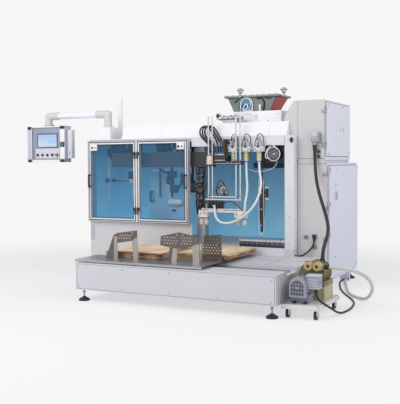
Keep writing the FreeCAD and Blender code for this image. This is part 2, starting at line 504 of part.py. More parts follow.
# Picker: covered linear beam, lift head, guide rods, suction bar with bellows cups
node("linear_beam", box("linear", "beam_left, linear_y, linear_low",
                        "bay_left + linear_over - beam_left, linear_dep, linear_high"))
rods = (("23", "9"), ("70", "8"), ("360", "10"), ("411", "9"))
head = cut("lift_bored", fuse("head_shape",
                              box("head_box", "head_left, pick_y - head_out, head_low",
                                  "head_box, head_out + head_back, head_high"),
                              box("head_guide", "head_left, pick_y - head_out, head_low",
                                  "head_wide, head_out + 36, head_high - bowl_high / 1.5"),
                              box("head_block", "head_left + 208, pick_y - 10, head_low + head_high", "40, 60, 180"),
                              rod("head_motor", "head_left + 70, pick_y - head_out - 28, head_low - 15", "z", "30",
                                  "head_high + 15")),
           *[rod("head_bore_" + x, "head_left + %s, pick_y, head_low - 1" % x, "z", "%s + fit" % r, "head_high + 2")
             for x, r in rods])
node("lift_head", head)
low_plate = "rail_low + 138"
node("lift_frame", fuse(
    "lift_shape",
    *([rod("lift_rod_" + x, "head_left + %s, pick_y, %s" % (x, low_plate), "z", r, "rod_top - %s" % low_plate)
       for x, r in rods] +
      [box("lift_plate_low", "head_left - 10, pick_y - 35, %s" % low_plate, "head_wide + 10, 70, foot_plate"),
       box("lift_plate_top", "head_left + 50, pick_y - 35, %s + 32" % low_plate, "320, 70, foot_plate"),
       box("lift_stem", "head_left + 25, pick_y - 30, rail_low + bar_high", "195, 60, 118"),
       box("hose_stub", "head_left + 105, pick_y - 70, rail_low + 63", "32, 40, 20")])))
cup_line = [("0", "0"), ("cup_r", "0"), ("cup_r - 9", "14"), ("cup_r - 2", "26"), ("cup_r - 9", "38"),
            ("cup_r - 2", "50"), ("cup_r - 13", "64"), ("12", "66"), ("12", "rail_low - cup_low"),
            ("0", "rail_low - cup_low")]
cups = [turned("cup_%d" % k, cup_line, "rail_left + %s, pick_y, cup_low" % x)
        for k, x in enumerate(("32", "90", "480", "555"))]
holders = [box("holder_%d" % k, "rail_left + %s, pick_y - 32, rail_low - 58" % x, "%s, 64, 62" % w)
           for k, (x, w) in enumerate((("8", "106"), ("450", "132")))]
node("suction_bar", fuse("bar_shape", box("bar", "rail_left, pick_y - bar_dep / 2, rail_low",
                                          "rail_len, bar_dep, bar_high"), *(cups + holders)))

# Filters, blower and opener under the portal beam; clamp rig behind the left door
filters = [box("filter_plate", "filter_x - 60, body_y - 2, filter_top - cap_high",
               "2 * filter_step + 120, 14, beam_low - filter_top + cap_high")]
for k in range(3):
    centre = "filter_x + %d * filter_step" % k
    filters += [box("cap_%d" % k, "%s - filter_wide / 2, body_y - 45, filter_top - cap_high" % centre,
                    "filter_wide, 45, cap_high"),
                rod("bowl_%d" % k, "%s, body_y - 18, filter_top - cap_high - bowl_high" % centre, "z", "bowl_r",
                    "bowl_high")]
node("filter_unit", fuse("filter_shape", *filters))
node("blower_box", fuse("blower_shape",
                        box("blower_case", "blower_x - 40, body_y + 4, beam_low - 2 * blower_r - 20",
                            "60, blower_dep, 2 * blower_r"),
                        rod("blower_drum", "blower_x + 20, body_y + 4, beam_low - blower_r - 20", "y", "blower_r",
                            "blower_dep"),
                        box("blower_hanger", "blower_x - 20, body_y + 20, beam_low - 30", "80, 60, 30")))
opener_line = [("-6", "0"), ("6", "0"), ("22", "opener_high * 0.3"), ("30", "opener_high * 0.75"),
               ("20", "opener_high"), ("-20", "opener_high"), ("-30", "opener_high * 0.75"),
               ("-22", "opener_high * 0.3")]
node("opener_arm", fuse("opener_shape",
                        drawn("opener_blade", "xz", opener_line, "36", "opener_x, opener_y - 18, opener_low"),
                        rod("opener_rod", "opener_x, opener_y, opener_low + opener_high - 10", "z", "10",
                            "beam_low - opener_low - opener_high + 10"),
                        box("opener_arm_link", "opener_x, opener_y - 8, opener_low + opener_high * 0.72",
                            "56, 16, 30"),
                        rod("opener_side", "opener_x + 60, opener_y, opener_low + opener_high * 0.62", "z", "16",
                            "130")))
node("clamp_rig", fuse("rig_shape",
                       rod("rig_rod_left", "rig_left, rig_y, rig_low", "z", "12", "roof_z - rig_low"),
                       rod("rig_rod_right", "rig_right, rig_y, rig_low", "z", "12", "roof_z - rig_low"),
                       rod("rig_bar", "rig_left, rig_y, rig_low + 256", "x", "10", "rig_right - rig_left"),
                       box("rig_clamp_left", "rig_left - 26, rig_y - 26, rig_low + 226", "110, 52, 60"),
                       box("rig_clamp_right", "rig_right - 30, rig_y - 26, rig_low + 226", "60, 52, 110")))

# Vacuum pump cart
deck_line = [("0", "deck_corner"), ("deck_corner", "0"), ("deck_wide - deck_corner", "0"),
             ("deck_wide", "deck_corner"), ("deck_wide", "deck_long - deck_corner"),
             ("deck_wide - deck_corner", "deck_long"), ("deck_corner", "deck_long"), ("0", "deck_long - deck_corner")]
node("cart_deck", drawn("deck_outline", "xy", deck_line, "deck_thick", "0, 0, -deck_thick"),
     "cart_x, cart_y, deck_top")
cowl_arch = fuse("cowl_arch",
                 rod("cowl_round", "motor_x, motor_at, motor_up + 20", "y", "cowl_half", "cowl_long"),
                 box("cowl_flat", "motor_x - cowl_half, motor_at, motor_up - 87",
                     "2 * cowl_half, cowl_long, 107"))
cowl_recess = [box("cowl_slit_%d" % k, "motor_x - cowl_half + 14 + %d * slit_step, motor_at, motor_up - 70" % k,
                   "slit_wide, 8, %s" % tall) for k, tall in enumerate(("100", "122", "130", "122", "100"))]
fin_long = "motor_long - cowl_long - 22"
fins = [box("motor_ridge", "motor_x - fin_thick / 2, motor_at + cowl_long, motor_up - fin_r",
            "fin_thick, %s, 2 * fin_r" % fin_long)]
fins += [box("motor_fin_%d" % k, "motor_x - fin_r * %s, motor_at + cowl_long, motor_up + %s * fin_r - fin_thick / 2"
             % (reach, rise), "2 * fin_r * %s, %s, fin_thick" % (reach, fin_long))
         for k, (rise, reach) in enumerate((("(-0.6)", "0.8"), ("(-0.31)", "0.95"), ("0", "1"), ("0.31", "0.95"),
                                            ("0.6", "0.8")))]
node("pump_motor", fuse("motor_shape",
                        rod("motor", "motor_x, motor_at + cowl_long, motor_up", "y", "motor_r",
                            "motor_long - cowl_long"),
                        cut("cowl", cowl_arch, *cowl_recess),
                        box("motor_feet", "motor_x - 75, motor_at + 90, 0", "150, 150, 80"),
                        box("terminal_box", "motor_x + 69, motor_at + 60, motor_up - 10", "115, 100, 125"),
                        rod("terminal_gland", "motor_x + 144, motor_at + 110, motor_up - 23", "z", "14", "20"),
                        *fins),
     "cart_x, cart_y, deck_top")
silencers = [cut("silencer_%d" % k, rod("silencer_skin_%d" % k, "%s, block_y - 60, 330" % x, "y", "40", "62"),
                 rod("silencer_bore_%d" % k, "%s, block_y - 61, 330" % x, "y", "15", "20"))
             for k, x in enumerate(("187", "270"))]
node("pump_body", fuse("pump_shape",
                       rod("pump_case", "pump_x, pump_y, pump_up", "y", "pump_r", "pump_long"),
                       rod("pump_flange_front", "pump_x, pump_y, pump_up", "y", "pump_r + 8", "18"),
                       rod("pump_flange_back", "pump_x, pump_y + pump_long - 18, pump_up", "y", "pump_r + 8", "18"),
                       box("pump_foot", "pump_x - 105, pump_y, 0", "235, pump_long, 180"),
                       box("manifold", "142, block_y, 288", "158, 56, 80"),
                       box("inlet_boss", "262, block_y + 56, 240", "46, 44, 72"),
                       rod("inlet_fitting", "285, block_y + 78, 300", "z", "19", "50"),
                       rod("outlet_fitting", "250, block_y + 35, 320", "x", "19", "67"), *silencers),
     "cart_x, cart_y, deck_top")
spots = (("caster_in", "caster_in"), ("deck_wide - caster_in", "caster_in"),
         ("caster_in", "deck_long - caster_in"), ("deck_wide - caster_in", "deck_long - caster_in"))
for n, (x, y) in enumerate(spots, 1):
    at = "cart_x + %s, cart_y + %s, 0" % (x, y)
    side_high = "fork_top - 5 - wheel_r + 8"
    node("caster_fork_%d" % n, fuse(
        "fork_%d" % n,
        box("fork_plate_%d" % n, "-20, -20, fork_top - 6", "40, 46, 6"),
        box("fork_l_%d" % n, "-wheel_wide / 2 - 4, -10, wheel_r - 8", "3, 34, %s" % side_high),
        box("fork_r_%d" % n, "wheel_wide / 2 + 1, -10, wheel_r - 8", "3, 34, %s" % side_high),
        rod("axle_%d" % n, "-wheel_wide / 2 - 4, trail, wheel_r", "x", "axle_r", "wheel_wide + 8")), at)
    node("caster_wheel_%d" % n, cut(
        "wheel_%d" % n, rod("tyre_%d" % n, "-wheel_wide / 2, trail, wheel_r", "x", "wheel_r", "wheel_wide"),
        rod("wheel_bore_%d" % n, "-wheel_wide, trail, wheel_r", "x", "axle_r + pin_fit", "2 * wheel_wide")), at)


# Cords: straight runs joined by tangent arcs, each arc as large as its two runs allow
def cord(name, diameter, points):
    route = [FreeCAD.Vector(*p) for p in points]
    edges, at, radii = [], route[0], []
    for before, corner, after in zip(route, route[1:], route[2:]):
        back, on = before - corner, after - corner
        turn = math.pi - back.getAngle(on)
        radius = 0.45 * min(back.Length, on.Length) / math.tan(turn / 2)
        reach = radius * math.tan(turn / 2)
        first, last = corner + back.normalize() * reach, corner + on.normalize() * reach
        middle = (back + on).normalize()
        top = corner + middle * (radius / math.cos(turn / 2) - radius)
        edges += [Part.LineSegment(at, first).toShape(), Part.Arc(first, top, last).toShape()]
        at = last
        radii.append(round(radius / diameter, 1))
    edges.append(Part.LineSegment(at, route[-1]).toShape())
    path = Part.Wire(edges)
    start = route[1] - route[0]
    ring = Part.Wire([Part.Circle(route[0], start, diameter / 2).toShape()])
    tube = path.makePipeShell([ring], True, False)
    obj = doc.addObject("Part::Feature", name)
    obj.Shape = tube
    wanted = math.pi * diameter ** 2 / 4 * path.Length
    print(name, "length", round(path.Length), "radii in diameters", radii, "volume", round(tube.Volume / wanted, 4))
    return obj


VACUUM = [(2102, 1432, 1600), (2102, 1432, 1420), (2146, 1352, 1215), (2235, 1190, 1065), (2365, 950, 913),
          (2450, 770, 810), (2498, 610, 735), (2506, 490, 665), (2500, 428, 575), (2500, 428, 480)]
RETURN = [(2532, 385, 450), (2650, 385, 450), (2770, 440, 430), (2850, 560, 375), (2880, 720, 290), (2860, 885, 190),
          (2800, 1030, 98), (2726, 1150, 35), (2640, 1250, 18), (2545, 1350, 18), (2450, 1510, 18), (2380, 1710, 18),
          (2315, 1910, 18), (2255, 2100, 18), (2195, 2270, 18), (2195, 2400, 18)]
MOTOR = [(2505, 220, 262), (2505, 220, 203), (2537, 223, 160), (2588, 246, 124), (2630, 300, 82), (2650, 390, 36),
         (2664, 495, 11), (2682, 610, 11), (2684, 750, 11), (2666, 900, 11), (2632, 1060, 11), (2562, 1220, 11),
         (2466, 1390, 11), (2372, 1574, 11), (2290, 1770, 11), (2226, 1970, 11), (2172, 2150, 11), (2145, 2290, 11),
         (2145, 2400, 11)]
SOCKET = [(2090, 1448, 595), (2090, 1448, 535), (2055, 1438, 475), (2003, 1420, 425), (1945, 1406, 394),
          (1890, 1406, 394)]
LOOP = [(900, 1500), (900, 1575), (866, 1640), (806, 1690), (766, 1744), (774, 1806), (826, 1838), (884, 1818),
        (924, 1762), (966, 1690), (1000, 1612), (1000, 1500)]
LIFT_A = [(1346, 1343, 1440), (1346, 1343, 1300), (1362, 1338, 1150), (1354, 1322, 1040), (1345, 1300, 960),
          (1345, 1300, 882)]
LIFT_B = [(1499, 1343, 1440), (1499, 1343, 1330), (1532, 1324, 1210), (1524, 1302, 1090), (1482, 1276, 970),
          (1400, 1254, 864), (1296, 1245, 790), (1190, 1245, 748), (1100, 1245, 742), (1030, 1245, 778),
          (1001, 1245, 848), (1001, 1245, 925)]
node("vacuum_hose", cord("vacuum_tube", 34, VACUUM))
node("return_hose", cord("return_tube", 34, RETURN))
node("motor_cable", cord("motor_tube", 20, MOTOR))
loops = [cord("loop_%d" % k, 14, [(x + 38 * k, 1352 - 15 * k, z) for x, z in LOOP]) for k in range(3)]
node("machine_cables", loops + [cord("socket_tube", 18, SOCKET)])
node("lift_hoses", [cord("lift_tube_a", 26, LIFT_A), cord("lift_tube_b", 26, LIFT_B)])

doc.recompute()
wrong = [o.Label for o in doc.Objects if "Invalid" in o.State or "Error" in o.State]
wrong += [o.Label for o in NODES if o.Shape.isNull() or not o.Shape.isValid() or not o.Shape.Solids]
if wrong:
    raise SystemExit("not built: " + ", ".join(wrong))
os.makedirs("parts", exist_ok=True)
whole = FreeCAD.BoundBox()
for obj in NODES:
    obj.Shape.exportStep("parts/%s.step" % obj.Label)
    whole.add(obj.Shape.BoundBox)
print(len(NODES), "nodes", whole)
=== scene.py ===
# %% [markdown]
# A bag placing machine. A low base carries a sliding magazine of paper bags. Behind it a guarded
# body holds a suction picker, and a hopper, two switch cabinets, a pendant panel and a vacuum
# pump on a small cart stand round it. The solids come from the drawing. This script gives them
# their finishes, and adds what a drawing leaves out: screws, seals, ribs, paper layers, hoses.

import math

import bmesh
import bpy
from mathutils import Matrix, Vector


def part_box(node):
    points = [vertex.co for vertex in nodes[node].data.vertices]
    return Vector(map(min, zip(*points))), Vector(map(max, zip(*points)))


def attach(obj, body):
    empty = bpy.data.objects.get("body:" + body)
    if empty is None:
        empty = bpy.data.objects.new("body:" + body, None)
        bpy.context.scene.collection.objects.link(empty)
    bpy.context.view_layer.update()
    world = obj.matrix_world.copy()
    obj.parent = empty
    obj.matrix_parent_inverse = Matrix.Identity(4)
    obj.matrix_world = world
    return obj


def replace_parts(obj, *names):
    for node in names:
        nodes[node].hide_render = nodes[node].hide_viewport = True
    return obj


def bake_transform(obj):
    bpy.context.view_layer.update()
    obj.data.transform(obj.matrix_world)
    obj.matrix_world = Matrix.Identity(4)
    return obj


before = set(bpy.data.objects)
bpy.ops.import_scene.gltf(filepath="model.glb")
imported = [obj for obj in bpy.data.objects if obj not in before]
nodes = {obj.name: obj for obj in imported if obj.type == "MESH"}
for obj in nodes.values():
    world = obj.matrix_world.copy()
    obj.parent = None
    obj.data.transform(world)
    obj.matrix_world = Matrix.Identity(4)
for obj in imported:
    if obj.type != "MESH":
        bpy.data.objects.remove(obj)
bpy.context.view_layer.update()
print("drawing loaded:", len(nodes), "nodes")

# %% [markdown]
# The camera stands at eye height, to the right of the machine and well back, as the photographer
# did. Its place and turn were worked out from straight edges of the base and the cabinets, and
# the lens from how fast those edges run together.

# %% Camera
EYE = Vector((4.1470, -7.5436, 1.4240))
TURN_LEFT, TILT_DOWN, ROLL = math.radians(27.09), math.radians(2.67), math.radians(-0.41)
LONG_SIDE, FOCAL = 404, 735.59  # pixels
OFF_AXIS = (5.7, -5.39)  # pixels
SENSOR = 36  # millimetres

ahead = Vector((-math.sin(TURN_LEFT) * math.cos(TILT_DOWN), math.cos(TURN_LEFT) * math.cos(TILT_DOWN),
    -math.sin(TILT_DOWN)))
level = Vector((math.cos(TURN_LEFT), math.sin(TURN_LEFT), 0))
upward = level.cross(ahead)
right = level * math.cos(ROLL) + upward * math.sin(ROLL)
up = upward * math.cos(ROLL) - level * math.sin(ROLL)
camera = bpy.data.objects.new("camera", bpy.data.cameras.new("camera"))
bpy.context.scene.collection.objects.link(camera)
camera.matrix_world = Matrix.Translation(EYE) @ Matrix((right, up, -ahead)).transposed().to_4x4()
camera.data.sensor_width = SENSOR
camera.data.lens = FOCAL * SENSOR / LONG_SIDE
camera.data.shift_x, camera.data.shift_y = OFF_AXIS[0] / LONG_SIDE, OFF_AXIS[1] / LONG_SIDE
bpy.context.scene.camera = camera
bpy.context.scene.view_settings.view_transform = "Standard"
print("lens", round(camera.data.lens, 2), "mm")

# %% [markdown]
# Shader maths reads best as plain arithmetic. This class wraps one output of a node, and each
# sign adds the Math node that does it, so a mask can be written as 1 - dust.


# %% Arithmetic on shader values
class Value:
    def __init__(self, finish, socket):
        self.finish, self.socket = finish, socket

    def math(self, operation, *values):
        return self.finish.add("ShaderNodeMath", {"operation": operation}, dict(enumerate(values)))

    def __add__(self, other):
        return self.math("ADD", self, other)

    def __sub__(self, other):
        return self.math("SUBTRACT", self, other)

    def __rsub__(self, other):
        return self.math("SUBTRACT", other, self)

    def __mul__(self, other):
        return self.math("MULTIPLY", self, other)

    def __gt__(self, edge):
        return self.math("GREATER_THAN", self, edge)

    def __lt__(self, edge):
        return self.math("LESS_THAN", self, edge)

    __radd__, __rmul__ = __add__, __mul__


# %% [markdown]
# A finish is a material made of nodes. One method adds any node: its settings go in first, then
# the numbers or links of its sockets, found by place or by name. Colours are written as the eye
# sees them, from 0 to 255, and turned into the linear light that the renderer works in.


# %% Finishes made of nodes
def colour(red, green, blue):
    def linear(part):
        part /= 255
        return part / 12.92 if part <= 0.04045 else ((part + 0.055) / 1.055) ** 2.4
    return linear(red), linear(green), linear(blue), 1.0


class Finish:
    def __init__(self, name):
        self.material = bpy.data.materials.new(name)
        self.material.use_nodes = True
        self.tree = self.material.node_tree
        self.tree.nodes.clear()
        self.output = self.tree.nodes.new("ShaderNodeOutputMaterial")

    def add(self, kind, settings=None, sockets=None, out=0):
        node = self.tree.nodes.new(kind)
        for word, setting in (settings or {}).items():
            if word == "stops":
                ramp = node.color_ramp.elements
                for k, (at, shade) in enumerate(setting):
                    stop = ramp[k] if k < 2 else ramp.new(at)
                    stop.position, stop.color = at, shade
            else:
                setattr(node, word, setting)
        for key, given in (sockets or {}).items():
            socket = node.inputs[key]
            if isinstance(given, Value):
                self.tree.links.new(given.socket, socket)
            else:
                socket.default_value = given
        return Value(self, node.outputs[out])

    def place(self):
        return self.add("ShaderNodeTexCoord", out=3)

    def along(self, axis):
        return self.add("ShaderNodeSeparateXYZ", sockets={0: self.place()}, out="xyz".index(axis))

    def height(self):
        return self.along("z")

    def noise(self, scale, detail=3.0, stretch=(1, 1, 1)):
        at = self.add("ShaderNodeVectorMath", {"operation": "MULTIPLY"}, {0: self.place(), 1: stretch})
        return self.add("ShaderNodeTexNoise", sockets={"Vector": at, "Scale": scale, "Detail": detail})

    def mix(self, share, first, second):
        return self.add("ShaderNodeMix", {"data_type": "RGBA"}, {0: share, 6: first, 7: second}, out=2)

    def ramp(self, share, *stops):
        return self.add("ShaderNodeValToRGB", {"stops": stops}, {0: share})

    def bump(self, level, deep):
        return self.add("ShaderNodeBump", sockets={"Height": level, "Distance": deep})

    def surface(self, **sockets):
        named = {word.replace("_", " "): given for word, given in sockets.items()}
        shader = self.add("ShaderNodeBsdfPrincipled", sockets=named)
        self.tree.links.new(shader.socket, self.output.inputs["Surface"])
        return self.material


print("finish class ready")

# %% [markdown]
# Powder coat is a thick even paint baked on sheet steel. Close to, it has a fine orange-peel
# skin, and on a machine in use it carries a little dust low down and a slight change of tone
# from panel to panel. Three slow noises give those, and the bump is only a few hundredths of a
# millimetre deep.


# %% Powder coat
ORANGE_PEEL = 0.00006


def powder_coat(name, shade, dusty, rough=0.42):
    coat = Finish(name)
    tone = coat.noise(1.7, 4) * 0.7 + coat.noise(9, 3) * 0.3
    low_down = coat.add("ShaderNodeMapRange", {}, {0: coat.height(), 1: 0.0, 2: 0.5, 3: 0.55, 4: 0.0})
    dust = (coat.noise(26, 5) * low_down + (tone - 0.5) * 0.5)
    dust = coat.add("ShaderNodeClamp", sockets={0: dust + 0.12})
    return coat.surface(Base_Color=coat.mix(dust, shade, dusty), Roughness=rough + coat.noise(14, 3) * 0.16,
                        Normal=coat.bump(coat.noise(420, 2), ORANGE_PEEL), Specular_IOR_Level=0.4)


# One coat whose faces get two colours, picked by a step on one axis. The darker colour is painted shade, not a second
# paint.
def coat_with_painted_face_shade(name, axis, edge, below, above, dusty):
    coat = Finish(name)
    tone = coat.noise(1.7, 4) * 0.7 + coat.noise(9, 3) * 0.3
    shade = coat.mix(coat.along(axis) > edge, below, above)
    dust = (tone - 0.4) * 0.6
    return coat.surface(Base_Color=coat.mix(dust, shade, dusty), Roughness=0.4 + coat.noise(14, 3) * 0.16,
                        Normal=coat.bump(coat.noise(420, 2), ORANGE_PEEL), Specular_IOR_Level=0.4)


# Painted shade: the cabinets' fronts are painted darker than their sides, which face the light from the right. The
# low base's end face is painted darker as the shadow of the pump's cart.
cabinet_coat = coat_with_painted_face_shade("cabinet_powder_coat", "y", 0.104, colour(202, 200, 202), colour(204, 206, 222),
                             colour(190, 188, 192))
housing_coat = coat_with_painted_face_shade("housing_powder_coat", "x", 1.8035, colour(204, 204, 212), colour(186, 184, 192),
                             colour(180, 178, 180))
white_coat = powder_coat("white_powder_coat", colour(221, 221, 228), colour(196, 194, 196))
cream_coat = powder_coat("cream_powder_coat", colour(206, 205, 209), colour(186, 183, 178))
hood_coat = powder_coat("hood_powder_coat", colour(238, 238, 242), colour(222, 222, 224))
cart_coat = powder_coat("cart_powder_coat", colour(226, 227, 232), colour(186, 184, 180), rough=0.5)
print("powder coats: 6")

# %% [markdown]
# Metal that was rolled, brushed or drawn out has fine lines in one direction. A noise stretched
# a hundredfold along that direction gives them, in the gloss and as a very shallow bump.


# %% Brushed and drawn metal
LINE_DEPTH = 0.00003


def lined_metal(name, shade, stain, along, rough, metallic=1.0):
    metal = Finish(name)
    stretch = tuple(0.02 if axis == along else 1.0 for axis in "xyz")
    grain = metal.noise(720, 2, stretch)
    patch = metal.noise(7, 4)
    return metal.surface(Base_Color=metal.mix(patch * 0.8 + grain * 0.3 - 0.15, shade, stain), Metallic=metallic,
                         Roughness=rough + grain * 0.12 + patch * 0.1, Normal=metal.bump(grain, LINE_DEPTH))


profile = lined_metal("anodised_profile", colour(196, 198, 206), colour(168, 171, 180), "z", 0.3, 0.75)
stainless = lined_metal("brushed_stainless", colour(190, 190, 192), colour(146, 144, 142), "x", 0.26)
guide_steel = lined_metal("guide_stainless", colour(150, 146, 140), colour(98, 94, 88), "x", 0.34, 0.9)
bright_rod = lined_metal("ground_rod", colour(222, 224, 228), colour(190, 192, 198), "z", 0.14, 0.9)
dull_steel = lined_metal("hopper_steel", colour(118, 128, 124), colour(70, 82, 80), "z", 0.32, 0.8)
light_profile = lined_metal("light_profile", colour(226, 228, 236), colour(198, 201, 210), "z", 0.34, 0.3)
print("metals: 6")

# %% [markdown]
# Plastics and rubber differ mostly in how they scatter light: a moulded cover is satin with a
# leathery skin, rubber is duller, and a clear filter bowl lets some light through.


# %% Plastics and rubber
def moulded(name, shade, rough, skin=0.0001, grain=260, coat=0.0):
    plastic = Finish(name)
    worn = plastic.noise(18, 4)
    return plastic.surface(Base_Color=plastic.mix(worn * 0.5, shade, tuple(part * 0.7 for part in shade[:3]) + (1,)),
                           Roughness=rough + worn * 0.15, Coat_Weight=coat,
                           Normal=plastic.bump(plastic.noise(grain, 3), skin))


black_plastic = moulded("black_plastic", colour(38, 38, 42), 0.4)
dark_cover = moulded("dark_beam_cover", colour(52, 56, 62), 0.45)
black_rubber = moulded("black_rubber", colour(30, 30, 33), 0.55, 0.0002, 120)
white_plastic = moulded("white_plastic", colour(232, 232, 230), 0.32)
cream_plastic = moulded("cream_plastic", colour(222, 214, 196), 0.35)
hose_plastic = moulded("milky_hose", colour(226, 232, 240), 0.25, coat=0.3)
grey_hose = moulded("grey_hose", colour(192, 197, 198), 0.35, coat=0.2)
red_plastic = moulded("red_plastic", colour(176, 42, 44), 0.3)
motor_paint = moulded("motor_paint", colour(154, 157, 174), 0.42, 0.0003, 90)
filter_bowl = moulded("filter_bowl", colour(226, 214, 112), 0.2, coat=0.4)
print("plastics: 10")

# %% [markdown]
# The machine's back and end are closed with sheets of blue tinted plastic. The daylight behind them
# is painted in as a glow: the colour follows the height, deepest near the roof and paler low down,
# with slow clouds of painted reflection of the workshop, and the sheet gives that colour off as
# emission. The doors have the same tint and painted glow, thinner.


# %% Blue sheets
def sheet_with_painted_glow(name, high_shade, low_shade, see_through, rough):
    sheet = Finish(name)
    # Painted light: the colour rises from pale low down to deep near the roof, with clouds of painted reflection. The
    # sheet gives the colour off as emission, so it glows though it is no lamp.
    rise = sheet.add("ShaderNodeMapRange", {}, {0: sheet.height() + sheet.noise(2.4, 3) * 0.5 - 0.25,
                                                1: 0.5, 2: 1.75, 3: 0.0, 4: 1.0})
    tint_with_painted_glow = sheet.mix(rise, low_shade, high_shade)
    return sheet.surface(Base_Color=tint_with_painted_glow, Roughness=rough + sheet.noise(5, 3) * 0.1, Alpha=see_through,
                         Emission_Color=tint_with_painted_glow, Emission_Strength=0.26, Specular_IOR_Level=0.6)


blue_sheet = sheet_with_painted_glow("blue_sheet", colour(62, 118, 162), colour(142, 208, 236), 0.95, 0.16)
door_pane = sheet_with_painted_glow("door_pane", colour(66, 116, 152), colour(72, 146, 196), 0.15, 0.05)
door_pane.surface_render_method = "BLENDED"
print("blue sheets: 2")

# %% [markdown]
# Kraft paper has short fibres, soft creases, and edges that are a little darker than the face.
# A pile's sides show its layers as stripes, so the colour follows a noise squeezed in height; the
# stripes are partly the layers' own tone and partly painted shade, darkest in the gaps between the
# layers. Where the paper faces up, a plainer, lighter colour takes over, painted light on the top.


# %% Kraft paper
def kraft():
    paper = Finish("kraft_paper")
    fibre = paper.noise(300, 5, (1, 0.3, 1))
    cloud = paper.noise(6, 3)
    layer = paper.noise(9, 2, (0.4, 0.4, 26))
    layers_and_gap_shade = fibre * 0.2 + cloud * 0.25 + layer * 0.55
    # The darkest stop is painted shade in the gaps between the layers.
    shade = paper.ramp(layers_and_gap_shade, (0.43, colour(86, 56, 42)), (0.49, colour(176, 140, 106)),
                       (0.55, colour(234, 208, 176)), (0.66, colour(248, 232, 210)))
    # Painted light: faces turned up get a plainer, lighter colour than the sides.
    upward = paper.add("ShaderNodeSeparateXYZ", sockets={0: paper.add("ShaderNodeNewGeometry", out=1)}, out=2)
    top = paper.ramp(fibre * 0.3 + cloud * 0.7, (0.36, colour(208, 178, 142)), (0.6, colour(240, 216, 184)))
    shade = paper.mix(upward > 0.6, shade, top)
    return paper.surface(Base_Color=shade, Roughness=0.75 + fibre * 0.15,
                         Normal=paper.bump(fibre * 0.3 + paper.noise(22, 3), 0.0012))


paper = kraft()

# %% [markdown]
# Some solids carry two finishes, and a step on one axis picks one or the other. A foot is a dark
# rubber-faced pad with a zinc-plated stem. The pump is cast iron in olive paint on a paler foot.
# The arm's pipe is painted steel between two grey castings with a coarser skin.


# %% Solids with two finishes
def foot_finish():
    foot = Finish("levelling_foot")
    stem = foot.height() > 0.036
    shade = foot.mix(stem, colour(44, 44, 46), colour(150, 152, 156))
    return foot.surface(Base_Color=shade, Metallic=stem * 0.8, Roughness=0.6 - stem * 0.25,
                        Normal=foot.bump(foot.noise(160, 3), 0.0002))


def pump_finish():
    pump = Finish("pump_paint")
    shade = pump.mix(pump.height() < 0.262, colour(128, 122, 84), colour(196, 194, 150))
    grime = pump.noise(11, 5)
    return pump.surface(Base_Color=pump.mix(grime * 0.55, shade, colour(62, 58, 44)), Roughness=0.42 + grime * 0.2,
                        Normal=pump.bump(pump.noise(70, 4), 0.0006))


def arm_finish():
    arm = Finish("panel_arm_finish")
    middle = (arm.along("x") > -1.710) * (arm.along("x") < -1.125)
    shade = arm.mix(middle, colour(206, 205, 203), colour(236, 236, 246))
    return arm.surface(Base_Color=shade, Roughness=0.5 - middle * 0.15, Metallic=0.05,
                       Normal=arm.bump(arm.noise(240, 3) * (1 - middle), 0.0004))


# %% [markdown]
# Every solid of the drawing gets a finish. The table lists the drawing's nodes under the finish
# they share.

# %% Finishes of the drawing's solids
FINISH_OF = {
    white_coat: "portal_post portal_beam bay_sill roof_plate",
    cabinet_coat: "upper_cabinet upper_cabinet_door lower_cabinet lower_cabinet_door",
    arm_finish(): "panel_arm", housing_coat: "base_housing", cream_coat: "lower_housing front_panel",
    hood_coat: "hood roof_boxes", cart_coat: "cart_deck", profile: "body_posts pendant_case",
    light_profile: "guard_frame door_left_frame door_right_frame",
    stainless: "guide_rails rail_carriages magazine_plate inlet_valve hopper_fittings",
    bright_rod: "clamp_rig lift_frame caster_fork_1 caster_fork_2 caster_fork_3 caster_fork_4",
    guide_steel: "bag_guides", dull_steel: "hopper", foot_finish(): "levelling_feet",
    black_plastic: "door_left_handle door_right_handle body_fittings opener_arm blower_box lift_head",
    dark_cover: "linear_beam", white_plastic: "suction_bar filter_unit pendant_buttons",
    black_rubber: "caster_wheel_1 caster_wheel_2 caster_wheel_3 caster_wheel_4 pendant_screen",
    blue_sheet: "blue_panels", door_pane: "door_left_glass door_right_glass", motor_paint: "pump_motor",
    pump_finish(): "pump_body"}
for finish, names in FINISH_OF.items():
    for name in names.split():
        for slot in nodes[name].material_slots:
            slot.material = finish
print("nodes dressed:", sum(len(names.split()) for names in FINISH_OF.values()))

# %% [markdown]
# A hose is one smooth curve through a few chosen points. A NURBS spline of order 3 keeps near
# them and never kinks, and a round bevel gives the curve its thickness. The points are those of
# the drawing's routes, in metres from the front left corner of the low base.

# %% Cords and hoses
DRAWN_FROM = Vector((0.395, 1.3675, 0))


def route(*points):
    return [Vector(point) - DRAWN_FROM for point in points]


def spline(name, points, radius):
    line = bpy.data.curves.new(name, "CURVE")
    line.dimensions, line.resolution_u, line.bevel_resolution = "3D", 10, 5
    line.bevel_depth, line.use_fill_caps = radius, True
    run = line.splines.new("NURBS")
    run.points.add(len(points) - 1)
    for spot, point in zip(run.points, points):
        spot.co = (*point, 1)
    run.order_u, run.use_endpoint_u = 3, True
    piece = bpy.data.objects.new(name, line)
    bpy.context.scene.collection.objects.link(piece)
    return piece


def hose(name, points, thick, length, finish, node):
    piece = spline(name, points, thick / 2)
    piece.data.materials.append(finish)
    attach(piece, "frame")
    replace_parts(piece, node)
    print(name, length, "m")


